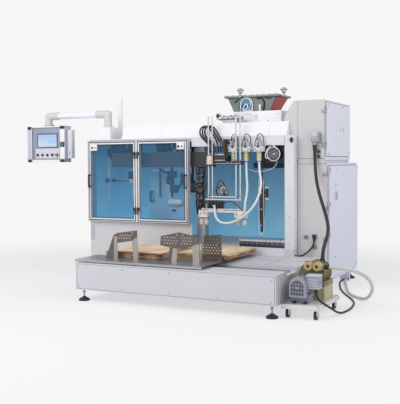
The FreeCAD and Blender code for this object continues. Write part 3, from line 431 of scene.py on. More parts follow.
VACUUM = route((2.102, 1.432, 1.600), (2.102, 1.432, 1.420), (2.146, 1.352, 1.215), (2.235, 1.190, 1.065),
               (2.365, 0.950, 0.913), (2.450, 0.770, 0.810), (2.498, 0.610, 0.735), (2.506, 0.490, 0.665),
               (2.500, 0.428, 0.575), (2.500, 0.428, 0.480))
RETURN = route((2.532, 0.385, 0.450), (2.650, 0.385, 0.450), (2.770, 0.440, 0.430), (2.850, 0.560, 0.375),
               (2.880, 0.720, 0.290), (2.860, 0.885, 0.190), (2.800, 1.030, 0.098), (2.726, 1.150, 0.035),
               (2.640, 1.250, 0.018), (2.545, 1.350, 0.018), (2.450, 1.510, 0.018), (2.380, 1.710, 0.018),
               (2.315, 1.910, 0.018), (2.255, 2.100, 0.018), (2.195, 2.270, 0.018), (2.195, 2.400, 0.018))
MOTOR = route((2.505, 0.220, 0.262), (2.505, 0.220, 0.203), (2.537, 0.223, 0.160), (2.588, 0.246, 0.124),
              (2.630, 0.300, 0.082), (2.650, 0.390, 0.036), (2.664, 0.495, 0.011), (2.682, 0.610, 0.011),
              (2.684, 0.750, 0.011), (2.666, 0.900, 0.011), (2.632, 1.060, 0.011), (2.562, 1.220, 0.011),
              (2.466, 1.390, 0.011), (2.372, 1.574, 0.011), (2.290, 1.770, 0.011), (2.226, 1.970, 0.011),
              (2.172, 2.150, 0.011), (2.145, 2.290, 0.011), (2.145, 2.400, 0.011))
SOCKET = route((2.090, 1.448, 0.595), (2.090, 1.448, 0.535), (2.055, 1.438, 0.475), (2.003, 1.420, 0.425),
               (1.945, 1.406, 0.394), (1.890, 1.406, 0.394))
hose("vacuum_line", VACUUM, 0.034, 1.694, black_rubber, "vacuum_hose")
hose("return_line", RETURN, 0.034, 2.496, grey_hose, "return_hose")
hose("motor_lead", MOTOR, 0.020, 2.475, black_rubber, "motor_cable")
hose("socket_lead", SOCKET, 0.018, 0.323, black_rubber, "machine_cables")

# %% [markdown]
# Three cables rise from the lift head, swing over to the left and come down again into the
# beam's cover. They are the same loop three times, each a little further right and forward.

# %% Cable loops over the lift head
LOOP = ((0.900, 1.500), (0.900, 1.575), (0.866, 1.640), (0.806, 1.690), (0.766, 1.744), (0.774, 1.806),
        (0.826, 1.838), (0.884, 1.818), (0.924, 1.762), (0.966, 1.690), (1.000, 1.612), (1.000, 1.500))
LOOPS = [route(*[(x + 0.038 * k, 1.352 - 0.015 * k, z) for x, z in LOOP]) for k in range(3)]
for k, points in enumerate(LOOPS):
    hose(f"head_loop_{k}", points, 0.014, 0.812, black_rubber, "machine_cables")

# %% [markdown]
# Each loop runs inside a thicker corrugated sleeve, except near its two ends. The sleeve's curve
# uses the same points, but starts and stops halfway between two of them, where this kind of
# spline passes anyway, so it lies exactly round the cable.

# %% Sleeves on the cable loops
SLEEVE_RADIUS = 0.0092
for k, full in enumerate(LOOPS):
    points = [(full[1] + full[2]) / 2, *full[2:-2], (full[-3] + full[-2]) / 2]
    sleeve = spline(f"loop_sleeve_{k}", points, SLEEVE_RADIUS)
    sleeve.data.materials.append(black_rubber)
    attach(sleeve, "frame")
print("sleeves: 3")

# %% [markdown]
# The two milky suction hoses hang from the filters on the fixed body down to the lifting bar.
# When the bar moves, the real hose flexes. Here each is a mesh tube made from its curve, which
# stands in place of the drawing's hoses.


# %% Suction hoses
def bending_hose(name, points, thick, length, finish):
    bare = spline(name + "_line", points, 0)
    line = bpy.data.meshes.new_from_object(bare)
    bare.data.bevel_depth = thick / 2
    tube = bpy.data.objects.new(name, bpy.data.meshes.new_from_object(bare))
    bpy.context.scene.collection.objects.link(tube)
    bpy.data.objects.remove(bare)
    tube.data.shade_smooth()
    tube.data.materials.append(finish)
    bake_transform(tube)
    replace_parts(tube, "lift_hoses")
    print(name, length, "m")


bending_hose("suction_hose_a", route((1.346, 1.343, 1.440), (1.346, 1.343, 1.300), (1.362, 1.338, 1.150),
                                     (1.354, 1.322, 1.040), (1.345, 1.300, 0.960), (1.345, 1.300, 0.882)),
             0.026, 0.563, hose_plastic)
bending_hose("suction_hose_b", route((1.499, 1.343, 1.440), (1.499, 1.343, 1.330), (1.532, 1.324, 1.210),
                                     (1.524, 1.302, 1.090), (1.482, 1.276, 0.970), (1.400, 1.254, 0.864),
                                     (1.296, 1.245, 0.790), (1.190, 1.245, 0.748), (1.100, 1.245, 0.742),
                                     (1.030, 1.245, 0.778), (1.001, 1.245, 0.848), (1.001, 1.245, 0.925)),
             0.026, 1.176, hose_plastic)

# %% [markdown]
# Most added pieces are a few simple solids gathered into one mesh. This class keeps them
# together: blocks with softened edges, rods between two points, lines turned round an axis, and
# bent bars. Sizes are in millimetres, and so are places, from the front left corner of the low
# base. A place that is already a vector is one in metres in the scene.

# %% Gathering solids into a piece
FRONT, BACK, RIGHT, UP, DOWN = (0, -1, 0), (0, 1, 0), (1, 0, 0), (0, 0, 1), (0, 0, -1)
SHARP_FROM = math.radians(35)


def mm(x, y, z):
    return Vector((x, y, z)) / 1000 - DRAWN_FROM


def spot(place):
    return place if isinstance(place, Vector) else mm(*place)


def sides(name):
    low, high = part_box(name)
    return (*low, *high)


class Shape:
    def __init__(self, name):
        self.name, self.mesh = name, bmesh.new()

    def block(self, *boxes, edge=0):
        for box in boxes:
            low, high = mm(*box[:3]), mm(*box[3:])
            size = Matrix.Diagonal((high - low).to_4d())
            made = bmesh.ops.create_cube(self.mesh, size=1, matrix=Matrix.Translation((low + high) / 2) @ size)
            if edge:
                edges = dict.fromkeys(e for vertex in made["verts"] for e in vertex.link_edges)
                bmesh.ops.bevel(self.mesh, geom=list(edges), offset=edge / 1000, segments=2, affect="EDGES",
                                profile=0.5)

    def rod(self, start, end, radius, count=24):
        start, end = spot(start), spot(end)
        turn = (end - start).to_track_quat("Z", "Y").to_matrix().to_4x4()
        bmesh.ops.create_cone(self.mesh, cap_ends=True, segments=count, radius1=radius / 1000,
                              radius2=radius / 1000, depth=(end - start).length,
                              matrix=Matrix.Translation((start + end) / 2) @ turn)

    def wire(self, radius, *points):
        line = spline("bar_line", [spot(point) for point in points], radius / 1000)
        self.mesh.from_mesh(bpy.data.meshes.new_from_object(line))
        bpy.data.objects.remove(line)

    def lathe(self, line, at, axis=UP, count=32):
        turn = Matrix.Translation(spot(at)) @ Vector(axis).to_track_quat("Z", "Y").to_matrix().to_4x4()
        rings = []
        for radius, height in [(radius / 1000, height / 1000) for radius, height in line]:
            angles = [2 * math.pi * k / count for k in range(count if radius else 1)]
            rings.append([self.mesh.verts.new(turn @ Vector((radius * math.cos(a), radius * math.sin(a), height)))
                          for a in angles])
        for near, far in zip(rings, rings[1:]):
            for k in range(count):
                corners = [near[k % len(near)], near[(k + 1) % len(near)], far[(k + 1) % len(far)], far[k % len(far)]]
                self.mesh.faces.new(list(dict.fromkeys(corners)))

    def screw(self, at, axis, radius=6):
        self.lathe([(0, radius * 0.06), (radius * 0.45, radius * 0.06), (radius * 0.45, radius * 0.27),
                    (radius * 0.85, radius * 0.24), (radius, radius * 0.1), (radius, 0), (0, 0)], at, axis, 14)

    def done(self, finish, body="frame", slot=None):
        data = bpy.data.meshes.new(self.name)
        bmesh.ops.recalc_face_normals(self.mesh, faces=self.mesh.faces)
        self.mesh.to_mesh(data)
        self.mesh.free()
        data.shade_smooth()
        data.set_sharp_from_angle(angle=SHARP_FROM)
        data.materials.append(finish)
        piece = bpy.data.objects.new(self.name, data)
        bpy.context.scene.collection.objects.link(piece)
        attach(piece, body)
        print(self.name, len(data.polygons), "faces")
        return piece


# %% [markdown]
# Many turned parts share a few outlines. Each is a list of radii and heights: a stud or button
# on its base, a plug with a blunt end, a drum with both ends chamfered, a rib round a bigger
# part, and a collar, which is a rib closed on the inside.


# %% Outlines of turned parts
def stud(top, wide, shoulder, tall):
    return [(0, tall), (top, tall), (wide, shoulder), (wide, 0), (0, 0)]


def plug(foot, wide, low, high, tall):
    return [(0, 0), (foot, 0), (wide, low), (wide, high), (0, tall)]


def drum(foot, wide, low, high, top, tall):
    return [(0, 0), (foot, 0), (wide, low), (wide, high), (top, tall), (0, tall)]


def rib(inner, outer, low, high, tall):
    return [(inner, 0), (outer, low), (outer, high), (inner, tall)]


def collar(inner, outer, low, high, tall):
    return rib(inner, outer, low, high, tall) + [(inner, 0)]


print("outlines: 5")

# %% [markdown]
# Flat plates are cut to an outline with round holes in it. A flat curve does this: filled in and
# given a thickness, it is a plate with slightly softened edges.


# %% Cut plates and three more finishes
def cut_plate(shape, outline, thick, corner, holes=(), radius=0):
    flat = bpy.data.curves.new("plate_line", "CURVE")
    radius, thick = radius / 1000, thick / 1000
    flat.dimensions, flat.fill_mode, flat.extrude, flat.bevel_depth = "2D", "BOTH", thick * 0.4, thick * 0.1
    rings = [[(x / 1000, z / 1000) for x, z in outline]]
    for x, z in holes:
        turns = [2 * math.pi * k / 14 for k in range(14)]
        rings.append([(x / 1000 + radius * math.cos(a), z / 1000 + radius * math.sin(a)) for a in turns])
    for ring in rings:
        run = flat.splines.new("POLY")
        run.points.add(len(ring) - 1)
        run.use_cyclic_u = True
        for point, (x, z) in zip(run.points, ring):
            point.co = (x, z, 0, 1)
    plate = bpy.data.objects.new("plate_line", flat)
    made = bpy.data.meshes.new_from_object(plate)
    made.transform(Matrix.Translation(spot(corner)) @ Matrix.Rotation(math.pi / 2, 4, "X"))
    shape.mesh.from_mesh(made)
    bpy.data.objects.remove(plate)


dark_gap = moulded("dark_gap", colour(34, 36, 44), 0.6)
zinc = lined_metal("zinc_plated", colour(178, 180, 186), colour(128, 130, 138), "z", 0.34, 0.85)
bright_white = moulded("bright_white_plastic", colour(240, 241, 244), 0.35)
print("plates ready, finishes: 3")

# %% [markdown]
# The low base is folded from sheet steel. Its sheets are held by screws along the top and the
# bottom edge, and a fold runs round the front. Seams are narrow dark strips that stand a hair
# proud of the sheet, and thin dark strips on the bed beside the rails are painted shadow. Each
# foot gets nuts and a dome.

# %% Low base: screws, folds, painted rail shadows, feet
screws = Shape("base_screws")
for x in (38, 572, 1101, 1625, 2157):
    for z in (356, 154):
        screws.screw((x, 0, z), FRONT, 7)
for y in (110, 680, 1250):
    for z in (356, 154):
        screws.screw((2200, y, z), RIGHT, 7)
screws.done(zinc)
folds = Shape("base_folds")
for z in (386, 133):
    folds.block((14, -0.6, z - 1.2, 2186, 0.4, z + 1.2))
for x in (14, 2186):
    folds.block((x - 1.2, -0.6, 133, x + 1.2, 0.4, 386))
for y in (620, 980, 1240):
    folds.block((1500, y - 1.4, 399.6, 2196, y + 1.4, 400.5))
folds.block((1846, 572, 399.6, 1849, 1352, 400.5))
folds.done(dark_gap)
# Painted shadow: thin dark strips lie on the bed beside each rail.
rail_shadows = Shape("rail_painted_shadows")
for y in (318, 332.5, 361.5, 374, 468, 482.5, 511.5, 526):
    rail_shadows.block((52, y, 359.5, 2148, y + 2, 360.6))
rail_shadows.done(dark_gap)
FEET = ((60, 60), (2140, 60), (60, 1298), (2140, 1298), (-703, 1421), (-703, 2401), (1830, 2401), (2165, 2630))
feet = Shape("foot_nuts")
for x, y in FEET:
    feet.lathe([(8.2, 82), (15, 82), (17, 85), (17, 95), (15, 98), (8.2, 98), (8.2, 82)], (x, y, 0), count=6)
    feet.lathe(collar(8.2, 13, 0, 18, 22), (x, y, 30), count=6)
    feet.lathe(collar(8.2, 24, 0, 2.3, 2.3), (x, y, 117.5), count=24)
feet.done(zinc)
domes = Shape("foot_domes")
for x, y in FEET:
    domes.lathe([(54, 1), (58, 3), (58, 13), (54, 15), (50, 21), (36, 29), (20, 35), (20, 42), (9, 44)],
        (x, y, 0), count=28)
domes.done(black_rubber)

# %% [markdown]
# Each guard door is an aluminium frame round a tinted pane. Black seals run along the pane and
# along the outer edge, so from afar the frame reads as a bright line between two dark ones. The
# white switch covers in the top corners each have a round mark, and black caps hide the hinges.

# %% Guard doors: seals, switch covers, hinge caps
KNUCKLE = drum(10.5, 11.5, 2, 38, 10.5, 40)


def ring_of_bars(shape, low, high, wide, near, far):
    (x0, z0), (x1, z1) = low, high
    shape.block((x0, near, z0, x0 + wide, far, z1), (x1 - wide, near, z0, x1, far, z1),
        (x0 + wide, near, z0, x1 - wide, far, z0 + wide), (x0 + wide, near, z1 - wide, x1 - wide, far, z1),
        edge=0.8)


for side, x0, x1 in (("left", -735, -75.5), ("right", -39.5, 620)):
    body = f"guard_door_{side}"
    seals = Shape(f"door_{side}_seals")
    ring_of_bars(seals, (x0, 730), (x1, 1672), 6, 1304.6, 1306.6)
    ring_of_bars(seals, (x0 + 23, 753), (x1 - 23, 1649), 9, 1304.4, 1306.6)
    seals.done(dark_gap, body)
    inner = Shape(f"door_{side}_bright_edge")
    ring_of_bars(inner, (x0 + 9, 739), (x1 - 9, 1663), 11, 1303.6, 1306.6)
    inner.done(bright_white, body)
    switch = x0 + 29 if side == "left" else x1 - 124
    cover = Shape(f"door_{side}_switch_cover")
    cover.block((switch, 1290, 1574, switch + 95, 1305, 1643), edge=4)
    cover.block((switch + 52, 1287.5, 1582, switch + 88, 1290.4, 1634), edge=1)
    cover.done(bright_white, body, "white_plastic")
    mark = Shape(f"door_{side}_switch_mark")
    mark.lathe(drum(13, 15, 1, 4, 11, 6), (switch + (28 if side == "left" else 24), 1290.2, 1609), FRONT, 24)
    mark.block((switch + 62, 1286, 1600, switch + 80, 1287.8, 1618), edge=1)
    mark.done(red_plastic if side == "left" else black_plastic, body, "button_red")
    caps = Shape(f"door_{side}_hinge_caps")
    lean = -1 if side == "left" else 1
    pin = x1 if side == "left" else x0
    for low in (850, 1512):
        caps.block((min(pin, pin + lean * 30), 1296, low, max(pin, pin + lean * 30), 1302.4, low + 40), edge=3)
        caps.lathe(KNUCKLE, (pin, 1297.5, low), count=24)
    caps.done(black_plastic, body)
outer = Shape("guard_frame_edges")
ring_of_bars(outer, (-753, 712), (638, 1690), 4, 1304.8, 1306.4)
for low in (712.5, 1686):
    outer.block((-749, 1305, low, 634, 1306.2, low + 3.5))
outer.block((-754, 1310, 716, -752.4, 1322, 1686), (-754, 1336, 716, -752.4, 1348, 1686))
outer.done(dark_gap)
posts = Shape("guard_middle_knuckles")
for pin in (-75.5, -39.5):
    for low in (809, 1471):
        posts.lathe(KNUCKLE, (pin, 1297.5, low), count=24)
posts.done(black_plastic)

# %% [markdown]
# The cabinets are sheet steel boxes. What tells them apart from plain blocks is where sheets
# meet: a dark line round each door, a flange over the plinth, hinges in zinc, round quarter-turn
# locks, and screws in the corners.

# %% Cabinets: gaps, screws, locks, hinges
LOCK = [(0, 3), (3, 3), (3.5, 6), (8, 6), (10, 4), (11, 0), (0, 0)]
gaps = Shape("cabinet_gaps")
for y0, y1, z0, z1, x in ((1500, 2430, 1480, 2065, 2199.5), (1499, 2661, 149, 1377, 2224.5)):
    gaps.block((x, y0 - 4, z0, x + 1.4, y0 - 0.4, z1), (x, y1 + 0.4, z0, x + 1.4, y1 + 4, z1),
        (x, y0 - 4, z0 - 4, x + 1.4, y1 + 4, z0 - 0.4), (x, y0 - 4, z1 + 0.4, x + 1.4, y1 + 4, z1 + 4))
gaps.block((1893, 1469.2, 1398, 2222, 1470.3, 1401), (1893, 1469.2, 126, 1895.4, 1470.3, 1398),
    (2196.5, 1469.2, 1462, 2198.5, 1470.3, 2020), (1898, 1469.2, 1462, 1899.6, 1470.3, 2080),
    (1893, 1469.2, 1452, 2200, 1470.3, 1456))
gaps.done(dark_gap)
fixings = Shape("cabinet_screws")
for x, z in ((2040, 1398), (2210, 1392), (1908, 940), (1908, 300), (2212, 300), (2188, 2046), (1912, 2060)):
    fixings.screw((x, 1470, z), FRONT, 7)
fixings.done(zinc)
top_locks = Shape("upper_door_locks")
for y, z in ((2114, 2040), (2029, 1771), (2157, 1776), (2390, 1520), (1560, 2040), (1560, 1505)):
    top_locks.lathe(LOCK, (2212, y, z), RIGHT, 24)
top_locks.done(zinc)
low_locks = Shape("lower_door_locks")
for y, z in ((1751, 1349), (1728, 1157), (1729, 1047), (2630, 1347), (1709, 372), (2630, 190)):
    low_locks.lathe(LOCK, (2245.5, y, z), RIGHT, 24)
low_locks.block((2259, 1722, 1008, 2264, 1748, 1092), edge=2)
low_locks.done(zinc, "cabinet_door")
HINGE = [(7.2, 0), (11, 2), (11, 12), (7.5, 14), (7.5, 30), (11, 32), (11, 43), (7.2, 44.8)]
hinges = Shape("cabinet_hinges")
for low in (560, 900, 1270):
    hinges.lathe(HINGE, (2232.5, 1478, low), count=20)
    hinges.block((2186, 1465, low - 6, 2224, 1470, low + 50), edge=1.5)
    hinges.screw((2198, 1465, low + 6), FRONT, 5)
    hinges.screw((2198, 1465, low + 38), FRONT, 5)
hinges.done(zinc)
hinge_tops = Shape("lower_door_hinge_halves")
for low in (605.6, 945.6, 1315.6):
    hinge_tops.lathe(HINGE, (2232.5, 1478, low), count=20)
    hinge_tops.block((2245.5, 1504, low, 2249, 1540, low + 45), edge=1.2)
    hinge_tops.screw((2249, 1514, low + 22), RIGHT, 5)
    hinge_tops.screw((2249, 1530, low + 22), RIGHT, 5)
hinge_tops.done(zinc, "cabinet_door")
side_hinges = Shape("upper_door_hinges")
for low in (1578, 1950):
    side_hinges.lathe([(7.2, -12), (11, -10), (11, 0), (10.5, 2), (10.5, 43), (11, 45), (11, 55), (7.2, 57)],
        (2207.5, 1493, low), count=20)
    side_hinges.block((2168, 1465, low - 8, 2199, 1470, low + 53), edge=1.5)
    side_hinges.screw((2180, 1465, low + 4), FRONT, 5)
    side_hinges.screw((2180, 1465, low + 40), FRONT, 5)
side_hinges.done(zinc)

# %% [markdown]
# The hood is made of four sheets, so three joints cross its slope and its flat top. Rows of
# screws hold the hopper's collar, the portal and the front panel.

# %% Hood joints and screws
hood = Shape("hood_joints")
for x in (1113, 1596, 240):
    hood.rod((x, 1361.5, 1714), (x, 1465.5, 1866), 1.6, count=8)
    hood.block((x - 1.5, 1466, 1866.6, x + 1.5, 2455, 1867.8))
hood.done(cream_coat, slot="white_paint")
trims = Shape("roof_screws")
for x, z in ((1242, 1890), (1512, 1886), (1120, 1960), (1630, 1960)):
    trims.screw((x, 1585, z), FRONT, 8)
for x in (-700, -420, 180, 420):
    trims.screw((x, 1361, 1682), FRONT, 5)
for x in (690, 980, 1280, 1580, 1750):
    trims.screw((x, 1361, 1628), FRONT, 6)
for z in (530, 830, 1130, 1430, 1660):
    trims.screw((1836, 1361, z), FRONT, 6)
for x in (-640, -300, 60, 380, 620):
    for z in (686, 150) if x < 0 else (686, 430):
        trims.screw((x, 1358, z), FRONT, 5)
trims.done(zinc)

# %% [markdown]
# The fittings on the cabinet's front are the suction line's coupling with its ribbed metal
# shell, two push buttons, and three flanged sockets. Each solid of the drawing keeps its place,
# and the ribs, flanges and dark centres are laid over it.

# %% Coupling, buttons and sockets
shell = Shape("coupling_shell")
shell.block((2071, 1398, 1629, 2159, 1470, 1737), edge=6)
for z in (1650, 1672, 1694, 1716):
    shell.block((2068, 1395, z, 2162, 1470, z + 7), edge=2)
shell.lathe([(0, 30), (22, 30), (27, 26), (27, 10), (23, 0), (0, 0)], (2102, 1432, 1600), count=6)
shell.done(zinc)
grip = Shape("coupling_grip")
grip.lathe([(17.5, 1), (23, 0), (25, -12), (22.5, -30), (20.5, -56), (18, -60), (17.5, -30), (17.5, 1)],
    (2102, 1432, 1600), count=28)
for x, z in ((2138, 1532), (2138, 1480)):
    grip.lathe([(0, 33), (10, 33), (16, 27), (17, 12), (14, 10), (14, 0), (0, 0)], (x, 1470, z), FRONT, 24)
grip.lathe([(0, 20), (12, 19), (20, 12), (20, 0), (0, 0)], (1867, 1361, 1658), FRONT, 28)
grip.done(black_plastic)
sockets = Shape("socket_flanges")
for x, z in ((2090, 615), (1992, 607), (2090, 503)):
    sockets.block((x - 25, 1463, z - 25, x + 25, 1470, z + 25), edge=3)
    sockets.lathe([(10, 10), (18, 10), (20, 6), (20, 0), (10, 0), (10, 10)], (x, 1458, z), FRONT, 24)
    for dx in (-18, 18):
        for dz in (-18, 18):
            sockets.screw((x + dx, 1463, z + dz), FRONT, 3)
sockets.done(zinc)

# %% [markdown]
# The hopper stands on its collar. Its flank to the right is a glossy red sheet, the rim is
# steel with a row of bolts along the front and one along the back.

# %% Hopper: rim, red flank
rim_steel = lined_metal("rim_steel", colour(150, 146, 142), colour(104, 100, 98), "x", 0.36, 0.7)
rim = Shape("hopper_rim")
ring = ((980, 1572, 1630, 1576), (980, 1996, 1630, 2000), (980, 1576, 984, 1996), (1626, 1576, 1630, 1996))
for x0, y0, x1, y1 in ring:
    rim.block((x0 - 1.5, y0 - 1.5, 2157, x1 + 1.5, y1 + 1.5, 2181.5), edge=1)
for k in range(9):
    rim.lathe(stud(7, 8.5, 6, 9), (1000 + 76 * k, 1585, 2180), count=6)
    rim.lathe(stud(7, 8.5, 6, 9), (1000 + 76 * k, 1988, 2180), count=6)
rim.done(rim_steel, slot="stainless")
flank = Shape("hopper_red_flank")
line = [mm(1604, 1604, 2156), mm(1604, 1966, 2156), mm(1529, 1896, 2000), mm(1529, 1604, 2000)]
outward = Vector((0.003, 0, -0.0014))
near = [flank.mesh.verts.new(corner) for corner in line]
far = [flank.mesh.verts.new(corner + outward) for corner in line]
flank.mesh.faces.new(near)
flank.mesh.faces.new(far[::-1])
for k in range(4):
    flank.mesh.faces.new([near[k], near[(k + 1) % 4], far[(k + 1) % 4], far[k]])
flank.done(red_plastic, slot="hopper_steel")

# %% [markdown]
# The window is an upright arch of blue glass in a pale ring, with two pipes showing in it. Four
# dark pipes and a sensor stand beside it, and the rim's swing bolts have a cross and a ring.

# %% Hopper: window, pipes, swing bolts
glass = Shape("hopper_window_glass")
glass.block((1183, 1590, 2015, 1309, 1593.6, 2078), edge=1)
glass.rod((1246, 1590, 2078), (1246, 1593.6, 2078), 63, count=40)
glass.done(blue_sheet, slot="blue_glazing")
window = Shape("hopper_window_ring")
arch = [(1246 - 76 * math.cos(math.pi * k / 10), 1586, 2078 + 76 * math.sin(math.pi * k / 10)) for k in range(11)]
arch = [(1174, 1586, 2004), *arch, (1322, 1586, 2004)]
window.wire(5.5, *arch)
window.wire(7.5, (1205, 1585, 2010), (1214, 1583, 2060), (1252, 1583, 2088), (1268, 1584, 2050),
    (1240, 1585, 2022), (1216, 1586, 2016))
window.wire(4.5, (1262, 1585, 2010), (1292, 1584, 2044), (1300, 1584, 2100), (1282, 1585, 2132))
window.done(hose_plastic, slot="blue_glazing")
pipes = Shape("hopper_pipes")
pipes.wire(8, (1372, 1592, 2140), (1398, 1588, 2150), (1440, 1588, 2138), (1462, 1588, 2090),
    (1458, 1589, 2040), (1446, 1592, 2006))
pipes.wire(4.5, (1174, 1583, 2120), (1150, 1584, 2080), (1160, 1584, 2030), (1196, 1582, 2000))
pipes.wire(5, (1096, 1594, 2100), (1120, 1590, 2128), (1150, 1592, 2140))
pipes.wire(6, (1470, 1594, 2148), (1500, 1590, 2128), (1540, 1594, 2140))
pipes.done(black_rubber, slot="dark_cover")
barrel = Shape("hopper_sensor")
barrel.lathe([(0, 0), (11, 0), (13, 3), (13, 45), (16, 47), (16, 60), (12, 64), (0, 64)], (1412, 1586, 2006),
    count=24)
barrel.block((1396, 1588, 2000, 1428, 1600, 2010), edge=2)
barrel.done(bright_white, slot="white_plastic")
swings = Shape("swing_bolt_rings")
for x, y in ((1191, 1542), (1660, 1689)):
    swings.lathe([(30, 72), (38, 70), (41, 76), (38, 83), (30, 81), (30, 72)], (x, y, 2160), count=36)
    swings.rod((x - 34, y, 2237), (x + 34, y, 2237), 5, count=12)
    swings.rod((x, y - 30, 2237), (x, y + 30, 2237), 5, count=12)
    for k in range(5):
        swings.lathe([(9.5, 0), (12.5, 2), (9.5, 4)], (x, y, 2164 + 5 * k), count=20)
swings.done(zinc)

# %% [markdown]
# The inlet valve lies on the hood in front of the hopper: a row of screwed fittings on one
# axis, with a black knob at the left, hexagons between round barrels, and two drain taps below.

# %% Inlet valve fittings
valve = Shape("valve_fittings")
axis_at = (916, 1500, 1923)
for k, (radius, start, stop) in enumerate(((20, 52, 70), (28, 70, 96), (25, 96, 130), (31, 130, 152),
        (26, 152, 196), (32, 196, 216), (26, 216, 262), (30, 262, 286), (17, 286, 330))):
    count = 6 if k % 2 else 32
    valve.lathe([(0, start), (radius - 2, start), (radius, start + 3), (radius, stop - 3), (radius - 2, stop),
        (0, stop)], axis_at, RIGHT, count)
for x in (1000, 1092, 1150):
    valve.lathe([(0, 0), (13, 0), (15, 3), (15, 18), (10, 22), (10, 40), (0, 40)], (x, 1500, 1884), count=20)
    valve.lathe(plug(10, 12, 4, 14, 16), (x, 1500, 1944), count=20)
valve.done(zinc)
knob = Shape("valve_knob")
knob.lathe([(0, 0), (16, 0), (24, 6), (27, 14), (27, 30), (23, 38), (0, 40)], (912, 1500, 1948), (1, 0, 0.25),
    12)
knob.done(black_plastic)
feed = Shape("valve_feed_pipe")
feed.wire(11, (1240, 1500, 1923), (1290, 1500, 1923), (1330, 1510, 1930), (1356, 1536, 1944),
    (1372, 1584, 1950))
feed.wire(6, (1160, 1470, 1912), (1200, 1462, 1930), (1240, 1466, 1948), (1280, 1500, 1962), (1296, 1584, 1966))
feed.done(hose_plastic)

# %% [markdown]
# The pendant is a shallow case between two light columns with black caps on their ends. On its
# grey face sit the bezel with a lit screen, and under it a row of keys.

# %% Pendant panel
face_paint = powder_coat("pendant_face", colour(150, 156, 170), colour(128, 136, 154))
bezel_paint = moulded("bezel_blue", colour(84, 106, 142), 0.35)
key_paint = moulded("key_panel_grey", colour(216, 214, 228), 0.35)
for name, finish in (("pendant_screen", bezel_paint), ("pendant_buttons", key_paint)):
    for slot in nodes[name].material_slots:
        slot.material = finish
face = Shape("pendant_face")
face.block((-1698, 1416, 1474, -1262, 1417.6, 1880), edge=0.5)
face.done(face_paint, "pendant", "aluminium_profile")

# %% [markdown]
# The case has a dark line round its face and grooves down its columns, and light bars on top
# and below.

# %% Pendant: edges, bars and columns
edges = Shape("pendant_face_edges")
edges.block((-1700, 1412, 1880, -1260, 1417.6, 1884), (-1700, 1412, 1470, -1697, 1417.6, 1880),
    (-1263, 1412, 1470, -1260, 1417.6, 1880), edge=1)
for x in (-1762, -1741, -1720, -1240, -1219, -1198):
    edges.block((x - 1.5, 1408.6, 1480, x + 1.5, 1410.2, 1860))
edges.done(dark_gap, "pendant")
bars = Shape("pendant_bars")
bars.block((-1702, 1410, 1884, -1258, 1419, 1900), (-1702, 1410, 1438, -1258, 1419, 1470),
    (-1256, 1407.6, 1482, -1182, 1412, 1628), (-1256, 1407.6, 1698, -1182, 1412, 1856), edge=2)
bars.done(bright_white, "pendant")
left_bar = Shape("pendant_left_column")
left_bar.block((-1778, 1407.6, 1482, -1742, 1412, 1856), (-1738, 1406.8, 1482, -1704, 1412, 1856), edge=2)
left_bar.done(moulded("column_grey", colour(206, 208, 220), 0.35), "pendant", "aluminium_profile")

# %% [markdown]
# Black caps close the columns. Under the screen stand five round keys in metal rings, the right
# one orange, and a dial sits in the right column.

# %% Pendant: caps, keys, dial, side box
end_caps = Shape("pendant_caps")
for x0, x1 in ((-1772, -1714), (-1254, -1184)):
    for low in (1438, 1864):
        end_caps.block((x0, 1404, low, x1, 1480, low + 36), edge=5)
end_caps.block((-1250, 1404, 1636, -1188, 1412, 1692), edge=3)
for k in range(5):
    end_caps.lathe([(0, 6), (10, 6), (12.5, 3), (14.5, 0), (14.5, -10), (0, -10)],
        (-1615 + 78 * k, 1400, 1531), FRONT, 24)
end_caps.lathe([(0, 20), (9, 18), (11, 10), (8, 4), (8, 0), (0, 0)], (-1400, 1470, 1900), count=20)
end_caps.done(black_plastic, "pendant")
stop_key = Shape("pendant_stop_key")
stop_key.lathe([(0, 14), (12, 13), (18, 9), (19, 3), (13, 0), (0, 0)], (-1303, 1394.4, 1531), FRONT, 28)
stop_key.done(moulded("orange_key", colour(196, 112, 62), 0.35), "pendant", "button_red")
dial = Shape("pendant_dial")
dial.lathe([(0, 8), (10, 8), (13, 4), (14, 0), (0, 0)], (-1219, 1404, 1664), FRONT, 28)
for k in range(5):
    dial.lathe([(13.5, 1), (20.5, 1), (21.5, 0), (13.5, 0), (13.5, 1)], (-1615 + 78 * k, 1413.4, 1531), FRONT,
        28)
dial.done(zinc, "pendant")
side_box = Shape("pendant_side_box")
side_box.block((-1180, 1462, 1486, -1112, 1534, 1850), edge=6)
side_box.lathe([(0, 22), (12, 21), (15, 14), (10, 8), (10, 0), (0, 0)], (-1146, 1462, 1560), FRONT, 20)
side_box.done(white_coat, "pendant", "white_paint")

# %% [markdown]
# What the screen shows is a made-up layout of plain bars and fields on a glowing sheet.


# %% Pendant: lit screen
def lit_screen():
    lit = Finish("lit_screen")
    rise = lit.add("ShaderNodeMapRange", {}, {0: lit.height(), 1: 1.634, 2: 1.795, 3: 0.0, 4: 1.0})
    sky = lit.mix(rise, colour(226, 236, 252), colour(176, 208, 250))
    return lit.surface(Base_Color=colour(20, 24, 34), Roughness=0.15, Emission_Color=sky, Emission_Strength=0.82)


glow = Shape("screen_face")
glow.block((-1607, 1410.2, 1636, -1309, 1411.4, 1793), edge=0.4)
glow.done(lit_screen(), "pendant", "screen_glass")
fields = Shape("screen_fields")
fields.block((-1602, 1409.8, 1776, -1314, 1410.3, 1788))
for k in range(5):
    fields.block((-1600 + 58 * k, 1409.8, 1642, -1552 + 58 * k, 1410.3, 1654))
fields.block((-1440, 1409.8, 1676, -1322, 1410.3, 1758))
fields.done(moulded("screen_fields", colour(176, 204, 240), 0.3), "pendant", "screen_glass")

# %% [markdown]
# Behind the doors the machine's inside shows through the tint. From the roof hang a cross bar,
# rods with black clamp blocks and a group of valves.

